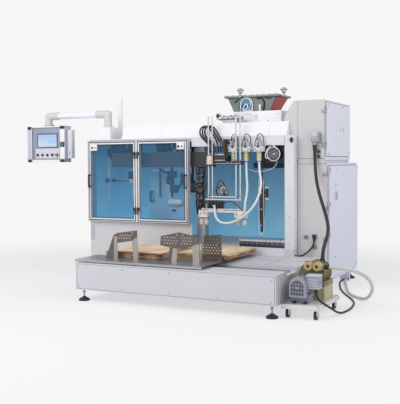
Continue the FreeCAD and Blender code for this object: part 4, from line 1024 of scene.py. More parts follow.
# %% Inside the guarded body: bar, rods, valves
inner = Shape("inner_bar_and_rods")
inner.block((-541, 1690, 1378, 560, 1714, 1400), edge=2)
for x in (-520, -216, 96, 372):
    inner.rod((x, 1702, 1400), (x, 1702, 1700), 9)
inner.block((-700, 1650, 1530, -430, 1750, 1600), (-660, 1660, 1600, -470, 1740, 1700),
    (-390, 1640, 1560, -236, 1740, 1640), (-360, 1660, 1640, -280, 1720, 1700),
    (20, 1640, 1560, 180, 1740, 1700), (250, 1650, 1596, 560, 1740, 1700), edge=6)
for x in (-660, -600, -540, -480, -350, -290, 60, 130, 300, 370, 440, 510):
    inner.rod((x, 1676, 1484), (x, 1676, 1600), 16)
    inner.lathe(plug(20, 22, 4, 24, 26), (x, 1676, 1500), count=6)
for x, z, half, tall in ((-715, 1200, 30, 52), (-640, 1199, 22, 40), (-352, 1266, 52, 96),
        (-600, 1199, 12, 26)):
    inner.block((x - half, 1672, z - tall / 2, x + half, 1728, z + tall / 2), edge=8)
inner.rod((-740, 1700, 1199), (-365, 1700, 1199), 10)
inner.rod((40, 1700, 1000), (40, 1700, 1700), 9)
inner.rod((210, 1702, 1000), (210, 1702, 1390), 14)
inner.block((150, 1676, 1240, 270, 1730, 1316), edge=10)
inner.block((132, 1680, 1160, 230, 1726, 1238), (186, 1680, 1052, 289, 1726, 1150), edge=12)
inner.rod((150, 1690, 1290), (40, 1700, 1340), 12)
inner.rod((289, 1702, 1100), (350, 1702, 1180), 14)
inner.block((330, 1680, 1150, 470, 1730, 1290), edge=12)
inner.rod((400, 1702, 1290), (400, 1702, 1390), 14)
inner.block((430, 1682, 1060, 560, 1728, 1150), edge=10)
inner.rod((495, 1702, 1140), (495, 1702, 1390), 12)
inner.done(moulded("inner_black_parts", colour(26, 32, 42), 0.5), slot="dark_cover")

# %% [markdown]
# Loops of tube hang from the valves. The cover, the round guard and the handle on the right are
# the pale parts of the inside.

# %% Inside: tubes, pale parts, cover, handle
tubes = Shape("inner_tubes")
for k in range(6):
    x = -690 + 78 * k
    tubes.wire(7, (x, 1660, 1604), (x + 6, 1646, 1560), (x + 44, 1640, 1470 - 14 * (k % 3)),
        (x + 96, 1646, 1500), (x + 110, 1660, 1602))
for k in range(5):
    x = 40 + 96 * k
    tubes.wire(8, (x, 1660, 1606), (x + 8, 1646, 1540), (x + 40, 1640, 1450 + 16 * (k % 2)),
        (x + 80, 1650, 1500), (x + 92, 1664, 1604))
tubes.wire(8, (-300, 1668, 1300), (-260, 1660, 1240), (-220, 1660, 1300), (-214, 1690, 1390))
tubes.wire(10, (450, 1676, 1180), (500, 1664, 1240), (540, 1670, 1180), (548, 1690, 1120))
tubes.done(black_rubber)
pale = Shape("inner_white_parts")
pale.lathe([(0, -26), (18, -20), (26, 0), (18, 20), (0, 26)], (-338, 1680, 1199), count=24)
pale.rod((-280, 1668, 1278), (-280, 1668, 1560), 9)
pale.rod((-690, 1690, 1199), (-690, 1690, 1520), 6)
pale.lathe([(0, 0), (36, 4), (42, 30), (40, 150), (26, 188), (0, 198)], (169, 1700, 940), RIGHT)
pale.block((188, 1708, 808, 268, 1719, 870), edge=3)
pale.block((-60, 1700, 1316, 190, 1722, 1344), edge=4)
pale.done(white_plastic, slot="white_plastic")
cover = Shape("inner_cover")
cover.block((-116, 1722, 475, 191, 1734, 1295), (191, 1722, 475, 420, 1734, 905),
    (228, 1722, 905, 330, 1734, 960), edge=4)
cover.block((50, 1722, 1290, 70, 1734, 1700), edge=2)
cover.done(moulded("inner_pale_blue", colour(160, 204, 232), 0.4), slot="white_paint")
grip = Shape("inner_handle")
grip.wire(14, (-88, 1724, 1062), (-84, 1676, 1066), (-76, 1672, 1000), (-84, 1676, 942), (-88, 1724, 946))
grip.block((200, 1706, 820, 256, 1708.4, 858), edge=2)
grip.block((380, 1704, 560, 420, 1723, 900), edge=3)
grip.done(black_plastic)

# %% [markdown]
# The bay to the right of the doors is the busiest place. Cables and grey blocks crowd against
# the post, and a dark bar crosses far behind, in front of the blue sheet.

# %% Bay: post blocks, cables, back bar
bay = Shape("bay_blocks")
bay.block((668, 1440, 985, 762, 1491, 1080), edge=8)
bay.block((690, 1452, 1096, 778, 1491, 1180), edge=10)
bay.block((662, 1446, 1190, 742, 1491, 1275), edge=8)
bay.block((1001, 2384, 1346, 1399, 2421, 1411), edge=4)
for z in (1012, 1046, 1120, 1150, 1216, 1248):
    bay.rod((700, 1428, z), (700, 1452, z), 13, count=12)
    bay.rod((742, 1432, z), (742, 1456, z), 9, count=12)
for x, z, r in ((690, 1330, 26), (742, 1320, 18), (676, 1148, 20), (730, 1090, 22), (762, 1226, 14)):
    bay.lathe(stud(r * 0.7, r, 24, 30), (x, 1452, z), FRONT, 20)
bay.block((664, 1448, 1290, 770, 1491, 1362), edge=8)
bay.done(moulded("bay_grey", colour(74, 80, 88), 0.45), slot="motor_grey")
leads = Shape("bay_cables")
for k in range(6):
    x = 664 + 20 * k
    leads.wire(7.5, (x, 1484, 1368), (x + 4, 1462, 1300 - 12 * k), (x + 24 - 8 * k, 1440, 1180 - 20 * k),
        (x + 8, 1440, 1060), (x - 6 + 3 * k, 1470, 900 - 30 * (k % 3)), (x, 1492, 820))
leads.done(black_rubber)

# %% [markdown]
# Silver valves sit on the portal beam and against the post, and each of the three filters has a
# bright head and a wire guard. The last screws hold the comb strip on the sill.

# %% Bay: valves and filter guards
FILTERS = (1193, 1346, 1499)
valves = Shape("beam_valves")
valves.block((1112, 1346, 1606, 1262, 1361, 1640), edge=2)
for x, z in ((672, 1300), (704, 1352), (748, 1284), (690, 1214), (724, 1168), (700, 1030), (746, 1010)):
    valves.lathe(stud(6, 9, 11, 16), (x, 1448 if z > 1280 else 1440, z), FRONT, 12)
for z in (1000, 1100, 1190, 1262):
    valves.rod((664, 1436, z), (760, 1436, z + 14), 4.5, count=10)
for x in (1128, 1158, 1188, 1218, 1248):
    valves.lathe([(0, 46), (6, 46), (8, 40), (8, 26), (12, 22), (12, 0), (0, 0)], (x, 1344, 1640), count=6)
    valves.lathe(stud(9, 11, 12, 18), (x, 1346, 1622), FRONT, 20)
for x in FILTERS:
    valves.block((x - 50, 1314.6, 1584, x + 50, 1362, 1602), edge=4)
    valves.block((x - 38, 1315.2, 1542, x + 38, 1317, 1554), edge=0.6)
    for dx in (-44, -30, 30, 44):
        valves.lathe(stud(4, 5.5, 9, 12), (x + dx, 1316, 1566), FRONT, 8)
    valves.lathe([(25.6, 20), (31, 20), (33, 16), (33, 2), (31, -4), (25.6, -4), (25.6, 20)], (x, 1343, 1520),
        count=12)
    for z in (1452, 1484):
        valves.lathe(collar(25.5, 27.2, 0, 5, 5), (x, 1343, z))
    for k in range(6):
        a = math.pi * k / 3 + 0.3
        valves.rod((x + 26.4 * math.cos(a), 1343 + 26.4 * math.sin(a), 1448),
            (x + 26.4 * math.cos(a), 1343 + 26.4 * math.sin(a), 1518), 1.8, count=8)
    valves.lathe([(13.5, 0), (19, -2), (20, -12), (16.5, -22), (13.5, -24), (13.5, 0)], (x, 1343, 1444),
        count=24)
for x in (1266, 1418):
    valves.lathe(drum(14, 16, 4, 34, 14, 38), (x - 19, 1340, 1568), RIGHT, 8)
for k in range(9):
    valves.screw((1270 + 61 * k, 1383.4, 516), FRONT, 7)
for x in FILTERS:
    valves.lathe([(0, 56), (8, 56), (11, 50), (11, 30), (15, 26), (15, 0), (0, 0)], (x - 26, 1341, 1602),
        count=6)
    valves.lathe(stud(10, 13, 28, 34), (x + 22, 1341, 1602), count=24)
    valves.rod((x - 60, 1341, 1612), (x + 60, 1341, 1612), 6, count=12)
    for way in (-1, 1):
        valves.lathe([(6.5, 0), (12, 2), (12, 18), (9, 24), (6.5, 24)], (x + 38 * way, 1341, 1612),
            (way, 0, 0), 6)
valves.done(zinc)

# %% [markdown]
# Black hoses arch over the filters, whose bowls are yellow. Milky air lines run down from the
# valves, and one ring of them goes round the fan's face.

# %% Bay: hoses, bowls and air lines
arcs = Shape("filter_arcs")
for x in FILTERS:
    arcs.wire(4.5, (x - 26, 1341, 1656), (x - 26, 1336, 1700), (x + 4, 1332, 1738), (x + 46, 1334, 1716),
        (x + 54, 1340, 1660), (x + 54, 1341, 1614))
    arcs.wire(3.5, (x + 22, 1341, 1634), (x + 18, 1336, 1672), (x - 12, 1332, 1690), (x - 44, 1336, 1668),
        (x - 52, 1341, 1614))
    arcs.lathe(plug(10, 12, 4, 14, 16), (x - 2, 1314.6, 1592), FRONT, 16)
arcs.done(black_rubber)
comb = Shape("comb_face")
comb.block((1240.5, 1383.4, 479, 1781.5, 1385.4, 541), edge=0.4)
comb.done(lined_metal("comb_steel", colour(92, 96, 104), colour(54, 58, 66), "x", 0.34, 0.8), slot="stainless")
bowls = Shape("filter_bowls")
for x in FILTERS:
    bowls.lathe([(25.2, 14), (25.6, 20), (25.6, 76), (25.2, 80)], (x, 1343, 1442))
bowls.done(filter_bowl, slot="white_plastic")
lines = Shape("bay_air_lines")
for x, dip in ((1128, 0), (1158, 20), (1218, 12)):
    lines.wire(3.5, (x, 1335, 1622), (x, 1322, 1618), (x + 10, 1322, 1560 - dip), (x + 26, 1340, 1540 - dip),
        (x + 30, 1372, 1600))
lines.wire(6, (1560, 1356, 1594), (1590, 1330, 1624), (1640, 1330, 1620), (1680, 1345, 1590),
    (1700, 1362, 1560))
lines.lathe([(70, 0), (76, 0), (77.5, 3), (77.5, 9), (70, 10), (70, 0)], (1660, 1365, 1508), FRONT, 48)
lines.wire(5.5, (1606, 1363, 1470), (1570, 1350, 1450), (1570, 1350, 1520), (1600, 1356, 1580),
    (1630, 1364, 1596))
lines.done(hose_plastic)

# %% [markdown]
# The fan housing has a hub cap and slots like a star on its face. Behind it are a dark plate,
# which is painted shade for the shaded inside around the fan, and a slung cable. The bag opener's
# blade is edged with a light strip on either side.

# %% Fan face and bag opener
fan = Shape("fan_face")
for k in range(16):
    a = math.pi * k / 8
    fan.rod((1660 + 24 * math.cos(a), 1363, 1508 + 24 * math.sin(a)),
        (1660 + 60 * math.cos(a), 1363, 1508 + 60 * math.sin(a)), 3, count=8)
fan.lathe([(0, 8), (12, 8), (18, 3), (20, 0), (0, 0)], (1660, 1365, 1508), FRONT, 32)
fan.done(zinc)
# Painted shade: a dark plate behind the fan stands for the shaded inside.
fan_shade_plate = Shape("fan_painted_shade_plate")
fan_shade_plate.block((1436, 1451, 1414, 1778, 1462, 1652), edge=2)
fan_shade_plate.block((1470, 1462, 1440, 1540, 1490, 1560), edge=6)
fan_shade_plate.done(moulded("painted_shade_dark_green", colour(48, 58, 62), 0.4), slot="dark_cover")
sling = Shape("fan_cable")
sling.wire(4.5, (1690, 1395, 1446), (1684, 1390, 1380), (1610, 1388, 1335), (1480, 1386, 1312),
    (1370, 1386, 1330), (1290, 1386, 1400), (1262, 1386, 1520), (1262, 1386, 1606))
sling.done(grey_hose, slot="white_plastic")
blade = Shape("opener_edges")
blade.block((1468, 1399, 650, 1473, 1403, 1236), (1525, 1399, 650, 1530, 1403, 1236), edge=1)
blade.rod((1471, 1400, 652), (1500, 1400, 612), 3, count=8)
blade.rod((1527, 1400, 652), (1500, 1400, 612), 3, count=8)
for z in (720, 900, 1080, 1210):
    blade.screw((1499, 1402, z), FRONT, 7)
blade.lathe(collar(16.2, 21, 2, 14, 16), (1559, 1420, 1010))
blade.lathe(collar(16.2, 21, 2, 14, 16), (1559, 1420, 1132))
blade.done(bright_white)

# %% [markdown]
# The lift head carries a motor in cream paint and a light top plate. Brown leads run down its
# column, and its beam has grooves along its face. The two rods at the right run in bearings.

# %% Lift head
head = Shape("head_motor_cover")
head.lathe([(0, 0), (30, 0), (33, 3), (33, 92), (28, 100), (0, 102)], (950, 1232, 1398))
for k in range(5):
    head.lathe(rib(33.2, 35, 2, 5, 7), (950, 1232, 1412 + 15 * k))
head.done(cream_plastic, slot="motor_grey")
plate = Shape("head_top_plate")
plate.block((1000, 1262, 1500, 1112, 1346, 1512), edge=2)
plate.block((884, 1257.8, 1440, 1126, 1260.4, 1448), (884, 1257.8, 1404, 1316, 1260.4, 1410), edge=0.8)
for x in (1150, 1200, 1268, 1306):
    plate.screw((x, 1260, 1422), FRONT, 6)
for k in range(3):
    for x in (900, 1000):
        plate.lathe([(7.2, 0), (12.5, 0), (12.5, 10), (10.5, 12), (9.5, 30), (7.2, 32), (7.2, 0)],
            (x + 38 * k, 1352 - 15 * k, 1500), count=8)
plate.done(zinc)
leads = Shape("head_column_leads")
for k in range(2):
    leads.wire(4.2, (1100 + 14 * k, 1288, 1676), (1102 + 12 * k, 1279, 1620), (1098 + 14 * k, 1278, 1560),
        (1106 + 8 * k, 1280, 1516), (1104 + 8 * k, 1290, 1498))
for k in range(3):
    leads.wire(4.2, (1124, 1300, 1560 - 20 * k), (1138, 1290, 1540 - 20 * k), (1140 + 4 * k, 1284, 1490),
        (1128, 1288, 1448), (1116, 1300, 1436))
leads.done(moulded("brown_lead", colour(92, 58, 44), 0.5), slot="dark_cover")
ribs = Shape("beam_grooves")
for z in (1386, 1412, 1438, 1474, 1500, 1526):
    ribs.block((-468, 1408.6, z - 5, 878, 1411.4, z + 5), edge=1)
ribs.done(black_plastic)
bearings = Shape("lift_bearings")
for x, bore in ((1240, 10.7), (1291, 9.7)):
    bearings.lathe([(bore, 0), (bore + 10, 0), (bore + 11, 2), (bore + 11, 10), (bore, 12), (bore, 0)],
        (x, 1300, 1435))
bearings.done(zinc)

# %% [markdown]
# Everything that hangs below the head moves with the lift: a nest of tubes on the frame's plates,
# elbows and fittings on the suction bar, and the bellows cups with their folds and lips.

# %% Tubes, elbows and cups that move with the lift
CUPS = (815, 873, 1263, 1338)
nest = Shape("lift_tube_nest")
for k in range(6):
    x, y, wide, tall = (1040 + 13 * k, 1280 + 7 * (k % 3), 26 + 7 * (k % 4), 96 + 22 * (k * 2 % 5))
    nest.wire(4.8, (x, y, 1050), (x - wide, y - 8, 1064 + 8 * k), (x - wide - 8, y - 14, 1050 + tall * 0.6),
        (x - wide * 0.3, y - 18, 1050 + tall), (x + wide * 0.8, y - 12, 1046 + tall * 0.8),
        (x + wide, y - 4, 1080), (x + 6, y + 4, 1050))
nest.block((1020, 1276, 1044, 1130, 1324, 1072), edge=4)
nest.done(black_rubber, "picker_lift")
elbows = Shape("lift_elbows")
for x in CUPS:
    elbows.lathe(plug(10, 12, 3, 18, 20), (x, 1300, 882), count=6)
for x in (838, 1000, 1046, 1092, 1180, 1300):
    elbows.lathe([(0, 0), (7, 0), (9, 3), (9, 14), (6, 18), (6, 28), (0, 30)], (x, 1290, 882), count=8)
elbows.rod((826, 1276, 896), (1330, 1276, 896), 6, count=14)
for x in (846, 1236, 1352):
    elbows.lathe(drum(13, 16, 5, 22, 12, 26), (x, 1276, 872), FRONT, 20)
elbows.wire(6, (873, 1300, 896), (873, 1300, 940), (890, 1288, 968), (930, 1280, 978), (960, 1284, 1002))
elbows.wire(6, (1263, 1300, 896), (1263, 1300, 934), (1232, 1290, 966), (1180, 1286, 980), (1150, 1288, 1002))
elbows.wire(5, (1090, 1290, 1050), (1060, 1268, 1100), (1090, 1262, 1160), (1130, 1272, 1120),
    (1126, 1292, 1050))
for x0, x1 in ((791, 897), (1233, 1365)):
    elbows.block((x0 - 2, 1265.4, 826, x1 + 2, 1268.4, 862), edge=1)
for x in CUPS:
    for k in range(3):
        elbows.lathe([(26.2, 0), (28.3, 4), (26.2, 8)], (x, 1300, 722 + 22 * k))
elbows.done(moulded("warm_white_nylon", colour(232, 222, 220), 0.35), "picker_lift", "white_plastic")
lips = Shape("cup_lips")
for x in CUPS:
    lips.lathe([(23, 0), (28.5, 1), (29, 4), (26.5, 8), (23, 9)], (x, 1300, 717))
    lips.lathe([(26.5, 0), (29, 3), (26.5, 6)], (x, 1300, 790))
    lips.rod((x, 1270, 846), (x, 1262, 846), 8, count=14)
lips.done(moulded("cup_grey", colour(150, 146, 150), 0.4), "picker_lift", "white_plastic")

# %% [markdown]
# Clamp rings hold the lift's plates on its rods, screws hold the bar, and a row of small dark
# blocks with their hoses sits between the plates.

# %% Clamps and blocks that move with the lift
clamps = Shape("lift_clamps")
for x in (903, 1291):
    for z in (1012, 1044):
        clamps.lathe(drum(19, 20, 2, 14, 18, 16), (x, 1300, z), count=6)
for x in (800, 888, 1242, 1356):
    clamps.screw((x, 1275, 872), FRONT, 5)
for x in (880, 940, 1000, 1060, 1120, 1180, 1240, 1304):
    clamps.screw((x, 1300 - 26, 1012), UP, 5)
for x, z in ((925, 984), (1080, 984), (925, 900), (1080, 900)):
    clamps.screw((x, 1275, z), FRONT, 6)
for k in range(3):
    x, y, wide, tall = (1052 + 16 * k, 1272 + 5 * k, 20 + 8 * k, 120 + 24 * k)
    clamps.wire(4.2, (x, y, 1050), (x - wide, y - 6, 1076), (x - wide, y - 8, 1050 + tall * 0.7),
        (x, y - 8, 1050 + tall), (x + wide, y - 6, 1050 + tall * 0.6), (x + wide * 0.6, y, 1052))
clamps.done(zinc, "picker_lift")
stem = Shape("lift_stem_blocks")
stem.block((902, 1264, 904, 1103, 1270.4, 998), edge=3)
for k in range(5):
    stem.block((908 + 38 * k, 1252, 912, 938 + 38 * k, 1265, 990), edge=4)
    stem.rod((923 + 38 * k, 1246, 930), (923 + 38 * k, 1254, 930), 9, count=14)
stem.wire(5.5, (1096, 1268, 960), (1150, 1262, 990), (1220, 1258, 984), (1290, 1262, 930), (1330, 1272, 884))
stem.wire(5.5, (910, 1262, 960), (862, 1258, 990), (820, 1262, 960), (812, 1272, 880))
stem.done(black_rubber, "picker_lift")

# %% [markdown]
# The motor's fan cowl has an arched grille: a dark opening crossed by upright and level bars.
# The terminal box has a light lid with a screw in each corner. Two black rims close the ends of
# the pump behind.

# %% Motor grille, terminal box lid
COWL_X, COWL_Z = 2361, 285
cowl_shade_and_mounts = Shape("cowl_painted_shade_and_mounts")
arch = [(-64, -73), (64, -73), (64, 3)]
arch += [(64 * math.cos(math.pi * k / 12), 3 + 64 * math.sin(math.pi * k / 12)) for k in range(1, 12)]
# Painted shade: a flat black plate fills the arch behind the grille.
cut_plate(cowl_shade_and_mounts, [*arch, (-64, 3)], 1.6, (COWL_X, 109.6, COWL_Z))
cowl_shade_and_mounts.block((2296, 150, 128, 2322, 366, 150), (2402, 150, 128, 2428, 366, 150), edge=4)
for y in (372, 632):
    cowl_shade_and_mounts.lathe(collar(115, 118.5, 1, 9, 10), (2405, y, 368), BACK, 56)
cowl_shade_and_mounts.done(black_plastic, slot="black_rubber")
grille = Shape("cowl_grille")
for k in range(-4, 5):
    x, top = COWL_X + 15 * k, COWL_Z + math.sqrt(66 ** 2 - (15 * k) ** 2)
    grille.block((x - 2.2, 106.4, 211, x + 2.2, 109.4, top), edge=0.6)
for z in (213, 246, 285, 318):
    half = 64 if z < 290 else 54
    grille.block((COWL_X - half, 106, z - 2.4, COWL_X + half, 109.2, z + 2.4), edge=0.6)
grille.lathe(stud(9, 12, 3, 6), (COWL_X, 109, COWL_Z), FRONT, 20)
for y in (196, 244):
    grille.lathe(stud(12, 14, 5, 8), (2545, y, 330), RIGHT, 6)
for z in (210, 360):
    grille.screw((2300 if z < 300 else 2334, 110, z), FRONT, 5)
grille.done(motor_paint, slot="motor_grey")
lid = Shape("terminal_box_lid")
lid.block((2426, 166.6, 386, 2548, 273.4, 400.8), edge=4)
lid.block((2428.6, 168.4, 273.6, 2547, 271.6, 281), edge=2)
for z in (300, 326, 352):
    lid.block((2440, 168.4, z, 2536, 170.6, z + 8), edge=1)
for x, y in ((2438, 180), (2537, 180), (2438, 260), (2537, 260)):
    lid.screw((x, y, 400.8), UP, 5)
lid.done(moulded("terminal_light_grey", colour(196, 200, 214), 0.4), slot="motor_grey")

# %% [markdown]
# Shallow cooling rings and two rings of screws go round the pump. Its two silencers are brass
# cups, and a flat dark disc in each cup's opening is painted shade for the bore.

# %% Pump rings and silencers
pump = Shape("pump_rings")
for k in range(11):
    y = 392 + 22 * k
    pump.lathe(rib(107.6, 112, 2, 7, 9), (2405, y, 368), BACK, 56)
for k in range(10):
    a = math.pi * k / 5 + 0.2
    pump.screw((2405 + 104 * math.cos(a), 642, 368 + 104 * math.sin(a)), BACK, 6)
    pump.screw((2405 + 108 * math.cos(a), 372, 368 + 108 * math.sin(a)), FRONT, 6)
pump.done(nodes["pump_body"].material_slots[0].material, slot="pump_olive")
cups = Shape("silencer_cups")
for x in (2402, 2485):
    cups.lathe([(15.5, 60), (30, 62), (38.5, 60), (41.2, 56), (41.2, 6), (39, 1), (36, 0)], (x, 350, 460),
        FRONT, 40)
    for k in range(3):
        cups.lathe(rib(41, 42.5, 2, 5, 7), (x, 342 - 16 * k, 460), FRONT, 40)
cups.lathe(drum(22, 24, 3, 20, 20, 24), (2500, 428, 452), count=6)
cups.lathe(drum(20, 23, 3, 18, 20, 20), (2512, 385, 450), RIGHT, 6)
cups.done(lined_metal("silencer_brass", colour(206, 186, 140), colour(150, 122, 80), "y", 0.36, 0.55),
    slot="pump_olive")
# Painted shade: a dark disc closes each silencer's opening.
bore_shades = Shape("silencer_bore_shades")
for x in (2402, 2485):
    bore_shades.lathe([(0, 61.5), (13.5, 61.5), (15.5, 60.8)], (x, 350, 460), FRONT, 24)
bore_shades.done(moulded("painted_bore_shade", colour(64, 40, 30), 0.6), slot="dark_cover")

# %% [markdown]
# Hoses and cables end in ribbed cuffs that taper towards the hose. At the cable port, which is
# close to the floor, they are only a thin band.

# %% Cuffs on hoses and cables
cuffs = Shape("hose_cuffs")


def cuff(at, axis, radius, long, grow=6.2):
    line = [(radius + 0.1, 0), (radius + grow, 0)]
    for k in range(3):
        start = long * (0.08 + 0.28 * k)
        wide = radius + grow * (1 - 0.22 * k)
        line += [(wide, start), (wide, start + long * 0.16), (wide - grow * 0.28, start + long * 0.18)]
    line += [(radius + grow * 0.16, long), (radius + 0.1, long)]
    cuffs.lathe(line, at, axis, 28)


cuff((2500, 428, 482), UP, 17, 52)
cuff((2532, 385, 450), RIGHT, 17, 46)
cuff((2505, 220, 264), DOWN, 10, 40)
cuff((2090, 1448, 596), DOWN, 9, 36)
cuff((1890, 1406, 394), RIGHT, 9, 26)
cuff((2195, 2400, 18), FRONT, 17, 30, 0.9)
cuff((2145, 2400, 11), FRONT, 10, 26, 0.9)
cuffs.done(black_rubber)

# %% [markdown]
# The casters' wheels have a grey tread and a lighter hub with a bolt through it. Hubs turn with
# their wheels. The cart's deck has a lip folded down all round, with rounded corners.

# %% Caster hubs, deck lip
for k in range(1, 5):
    low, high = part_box(f"caster_wheel_{k}")
    size, middle = (high - low, (high + low) / 2)
    axle = min(range(3), key=lambda axis: size[axis])
    hub = Shape(f"wheel_hub_{k}")
    for way in (-1, 1):
        axis = Vector([way if axis == axle else 0 for axis in range(3)])
        face = middle + axis * size[axle] / 2
        hub.lathe([(27, -3), (27, 0.6), (24, 1), (20, -1), (11, -0.6), (10, 1.4), (0, 1.6)], face, axis, 32)
    hub.done(moulded(f"hub_grey_{k}", colour(132, 136, 142), 0.45), f"wheel_{k}", "black_rubber")
deck = Shape("deck_lip")
for x0, y0, x1, y1 in ((2214, 89, 2571, 97), (2214, 743, 2571, 751), (2214, 89, 2222, 751),
        (2563, 89, 2571, 751)):
    deck.block((x0, y0, 90, x1, y1, 131.5), edge=3)
deck.done(cart_coat, slot="white_paint")
bolts = Shape("deck_bolts")
for x, y in ((2244, 118), (2543, 118), (2244, 722), (2543, 722), (2309, 150), (2415, 150), (2309, 360),
        (2415, 360)):
    bolts.lathe(stud(6, 8, 5, 7), (x, y, 130), count=6)
bolts.done(zinc)

# %% [markdown]
# The bag guides are folded from perforated steel, and this replaces the drawing's plain plates.
# Each is cut to its outline with a field of holes. The folded legs in front are the same steel in
# a lighter colour, painted light on faces turned to the front, and a dark gusset runs back from
# each leg to steady it on the magazine.

# %% Bag guides with their holes
def inside(outline, x, z, margin):
    clear = True
    for (x0, z0), (x1, z1) in zip(outline, outline[1:] + outline[:1]):
        long = math.hypot(x1 - x0, z1 - z0)
        clear = clear and ((x1 - x0) * (z - z0) - (z1 - z0) * (x - x0)) / long > margin
    return clear


GUIDES = (
    ((214, 241.5, 430), 46,
     [(0, 0), (149, 0), (145, 162), (322, 192), (339, 0), (393, 0), (384, 301), (141, 266), (97, 243)],
     [[(146, 176), (324, 206), (376, 294), (143, 260)]],
     [[(100, 0), (149, 0), (143, 236), (104, 226)], [(339, 0), (393, 0), (385, 232), (324, 196)]]),
    ((868, 241.5, 430), 46,
     [(91, 0), (187, 0), (206, 133), (363, 160), (372, 0), (444, 0), (430, 262), (219, 300), (12, 255), (0, 164),
      (110, 146)],
     [[(8, 172), (208, 150), (216, 292), (20, 250)], [(214, 152), (370, 174), (424, 256), (222, 292)]],
     [[(128, 0), (187, 0), (204, 132), (150, 140)], [(372, 0), (444, 0), (436, 190), (364, 168)]]),
    ((1188, 481.5, 430), 14,
     [(0, 0), (253, 0), (249, 271), (53, 249)],
     [[(14, 20), (240, 20), (238, 258), (62, 240)]],
     [[(0, 0), (30, 0), (62, 236), (44, 232)]]))
HOLE_RADIUS, HOLE_MARGIN, SHEET, LEG_SHEET = 7.5, 11, 3, 2
ACROSS, RISE = 32, 28
field_of_holes = [(20 + ACROSS * col + ACROSS / 2 * (row % 2), 20 + RISE * row)
                  for row in range(10) for col in range(14)]
brown_steel = lined_metal("perforated_steel", colour(124, 114, 106), colour(82, 74, 68), "x", 0.34, 0.75)
# Painted light: the legs' steel is the guides' steel in a lighter colour, for faces that catch the light from the
# front.
leg_steel_painted_light = lined_metal("guide_leg_painted_light", colour(186, 182, 178), colour(140, 134, 128), "z", 0.28, 0.85)
guides, legs = Shape("bag_guides_cut"), Shape("bag_guide_legs")
for (x, y, z), deep, outline, fields, strips in GUIDES:
    holes = [at for at in field_of_holes if any(inside(field, *at, HOLE_MARGIN) for field in fields)]
    cut_plate(guides, outline, SHEET, (x, y, z), holes, HOLE_RADIUS)
    for strip in strips:
        foot, top = x + strip[0][0], z + strip[-1][1] * 0.92
        cut_plate(legs, strip, LEG_SHEET, (x, y - 2.6, z))
        legs.block((foot, y, z, foot + 3, y + deep, top))
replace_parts(guides.done(brown_steel, "magazine", "stainless"), "bag_guides")
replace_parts(legs.done(leg_steel_painted_light, "magazine", "stainless"), "bag_guides")

# %% [markdown]
# A pile of empty bags is many folded papers. Each lies a little askew on the one below, its
# edges lift at the ends, and the pile's long sides show every layer. So each bag is its own
# thin sheet with a slight sag, turned and moved by a small repeatable amount.


# %% Bag piles
COLUMNS, ROWS = 14, 8


def bag_pile(shape, low, high, layers):
    long, wide = high.x - low.x, high.y - low.y
    thick = (high.z - low.z) / layers
    for n in range(layers):
        # How far this bag is turned and shifted, and how much shorter it is than the pile, in metres
        lean = 0.018 * math.sin(2.3 * n + long)
        slip = 0.016 * math.sin(4.1 * n)
        inset = 0.020 + 0.014 * math.cos(1.7 * n)
        top, bottom = [], []
        for row in range(ROWS + 1):
            for column in range(COLUMNS + 1):
                u, v = column / COLUMNS, row / ROWS
                x = low.x + inset + slip * (v - 0.5) + u * (long - 2 * inset)
                y = low.y + 0.016 + 0.012 * math.sin(3.1 * n) * (1 - v) + lean * (u - 0.5) + v * (wide - 0.036)
                droop = (abs(2 * u - 1) ** 4) * 0.004 * n / layers
                crown = 0.0012 * math.sin(9 * u + n) * math.sin(5 * v + 2 * n)
                z = low.z + thick * (n + 0.5) - droop + crown
                edge = 0.3 if column in (0, COLUMNS) or row in (0, ROWS) else 0.46
                top.append(shape.mesh.verts.new((x, y, min(z + thick * edge, high.z))))
                bottom.append(shape.mesh.verts.new((x, y, max(z - thick * edge, low.z))))
        for row in range(ROWS):
            for column in range(COLUMNS):
                k = row * (COLUMNS + 1) + column
                quad = (k, k + 1, k + COLUMNS + 2, k + COLUMNS + 1)
                shape.mesh.faces.new([top[c] for c in quad])
                shape.mesh.faces.new([bottom[c] for c in reversed(quad)])
        rim = ([k for k in range(COLUMNS)] + [COLUMNS + row * (COLUMNS + 1) for row in range(ROWS)]
               + [(ROWS + 1) * (COLUMNS + 1) - 1 - k for k in range(COLUMNS)]
               + [(ROWS - row) * (COLUMNS + 1) for row in range(ROWS)])
        for k, here in enumerate(rim):
            onward = rim[(k + 1) % len(rim)]
            shape.mesh.faces.new([top[here], bottom[here], bottom[onward], top[onward]])


x0, y0, z0, x1, y1, z1 = sides("bag_stacks")
bags = Shape("paper_bags")
bag_pile(bags, Vector((x0, y0, z0)), Vector((x0 + 0.700, y0 + 0.740, z1)), 13)
bag_pile(bags, Vector((x1 - 0.640, y1 - 0.800, z0)), Vector((x1, y1, z1 - 0.006)), 12)
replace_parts(bags.done(paper, "magazine", "kraft_paper"), "bag_stacks")

# %% [markdown]
# The studio is plain: a pale floor that fades into a pale backdrop, a big soft lamp above in
# front, a second one to the right, and even light from all round. What the camera sees past the
# machine, and what shows in gloss or glass, is one pale tone, told apart by the light path.

# %% Floor, backdrop and lamps
PALE = colour(246, 246, 246)
AROUND = 0.62


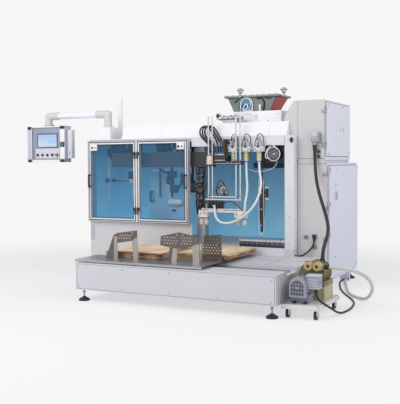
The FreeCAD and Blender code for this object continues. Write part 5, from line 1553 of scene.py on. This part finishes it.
def pale_world():
    world = bpy.data.worlds.new("studio")
    world.use_nodes = True
    tree = world.node_tree
    tree.nodes.clear()
    path, light = tree.nodes.new("ShaderNodeLightPath"), tree.nodes.new("ShaderNodeBackground")
    seen, shown = tree.nodes.new("ShaderNodeMath"), tree.nodes.new("ShaderNodeMath")
    strength, output = tree.nodes.new("ShaderNodeMapRange"), tree.nodes.new("ShaderNodeOutputWorld")
    seen.operation = shown.operation = "MAXIMUM"
    light.inputs["Color"].default_value = PALE
    strength.inputs["To Min"].default_value, strength.inputs["To Max"].default_value = AROUND, 1.0
    tree.links.new(path.outputs["Is Camera Ray"], seen.inputs[0])
    tree.links.new(path.outputs["Is Glossy Ray"], seen.inputs[1])
    tree.links.new(seen.outputs[0], shown.inputs[0])
    tree.links.new(path.outputs["Is Transmission Ray"], shown.inputs[1])
    tree.links.new(shown.outputs[0], strength.inputs["Value"])
    tree.links.new(strength.outputs["Result"], light.inputs["Strength"])
    tree.links.new(light.outputs[0], output.inputs["Surface"])
    bpy.context.scene.world = world


def pale_floor():
    floor = Finish("studio_floor")
    away = floor.add("ShaderNodeVectorMath", {"operation": "LENGTH"}, {0: floor.place()}, out=1)
    fade = floor.add("ShaderNodeMapRange", {"interpolation_type": "SMOOTHSTEP"},
                     {0: away, 1: 2.2, 2: 6.0, 3: 0.0, 4: 1.0})
    near = floor.add("ShaderNodeBsdfDiffuse", sockets={"Color": colour(244, 244, 245)})
    far = floor.add("ShaderNodeEmission", sockets={"Color": PALE, "Strength": 1.0})
    both = floor.add("ShaderNodeMixShader", sockets={0: fade * 0.48 + 0.52, 1: near, 2: far})
    floor.tree.links.new(both.socket, floor.output.inputs["Surface"])
    return floor.material


def lamp(name, at, aim, size, power):
    light = bpy.data.lights.new(name, "AREA")
    light.shape, light.size, light.energy = "SQUARE", size, power
    placed = bpy.data.objects.new(name, light)
    bpy.context.scene.collection.objects.link(placed)
    placed.location = at
    placed.rotation_euler = (Vector(aim) - Vector(at)).to_track_quat("-Z", "Y").to_euler()


pale_world()
ground = bpy.data.meshes.new("floor")
ground.from_pydata([(-60, -60, 0), (60, -60, 0), (60, 60, 0), (-60, 60, 0)], [], [(0, 1, 2, 3)])
ground.materials.append(pale_floor())
floor = bpy.data.objects.new("floor", ground)
bpy.context.scene.collection.objects.link(floor)
lamp("front_lamp", (-1.5, -6.0, 5.5), (0, 0, 0.9), 4.5, 260)
lamp("side_lamp", (6.5, -1.0, 4.0), (1.5, 0.5, 1.0), 3.5, 110)
print("lamps: 2, light all round:", AROUND)
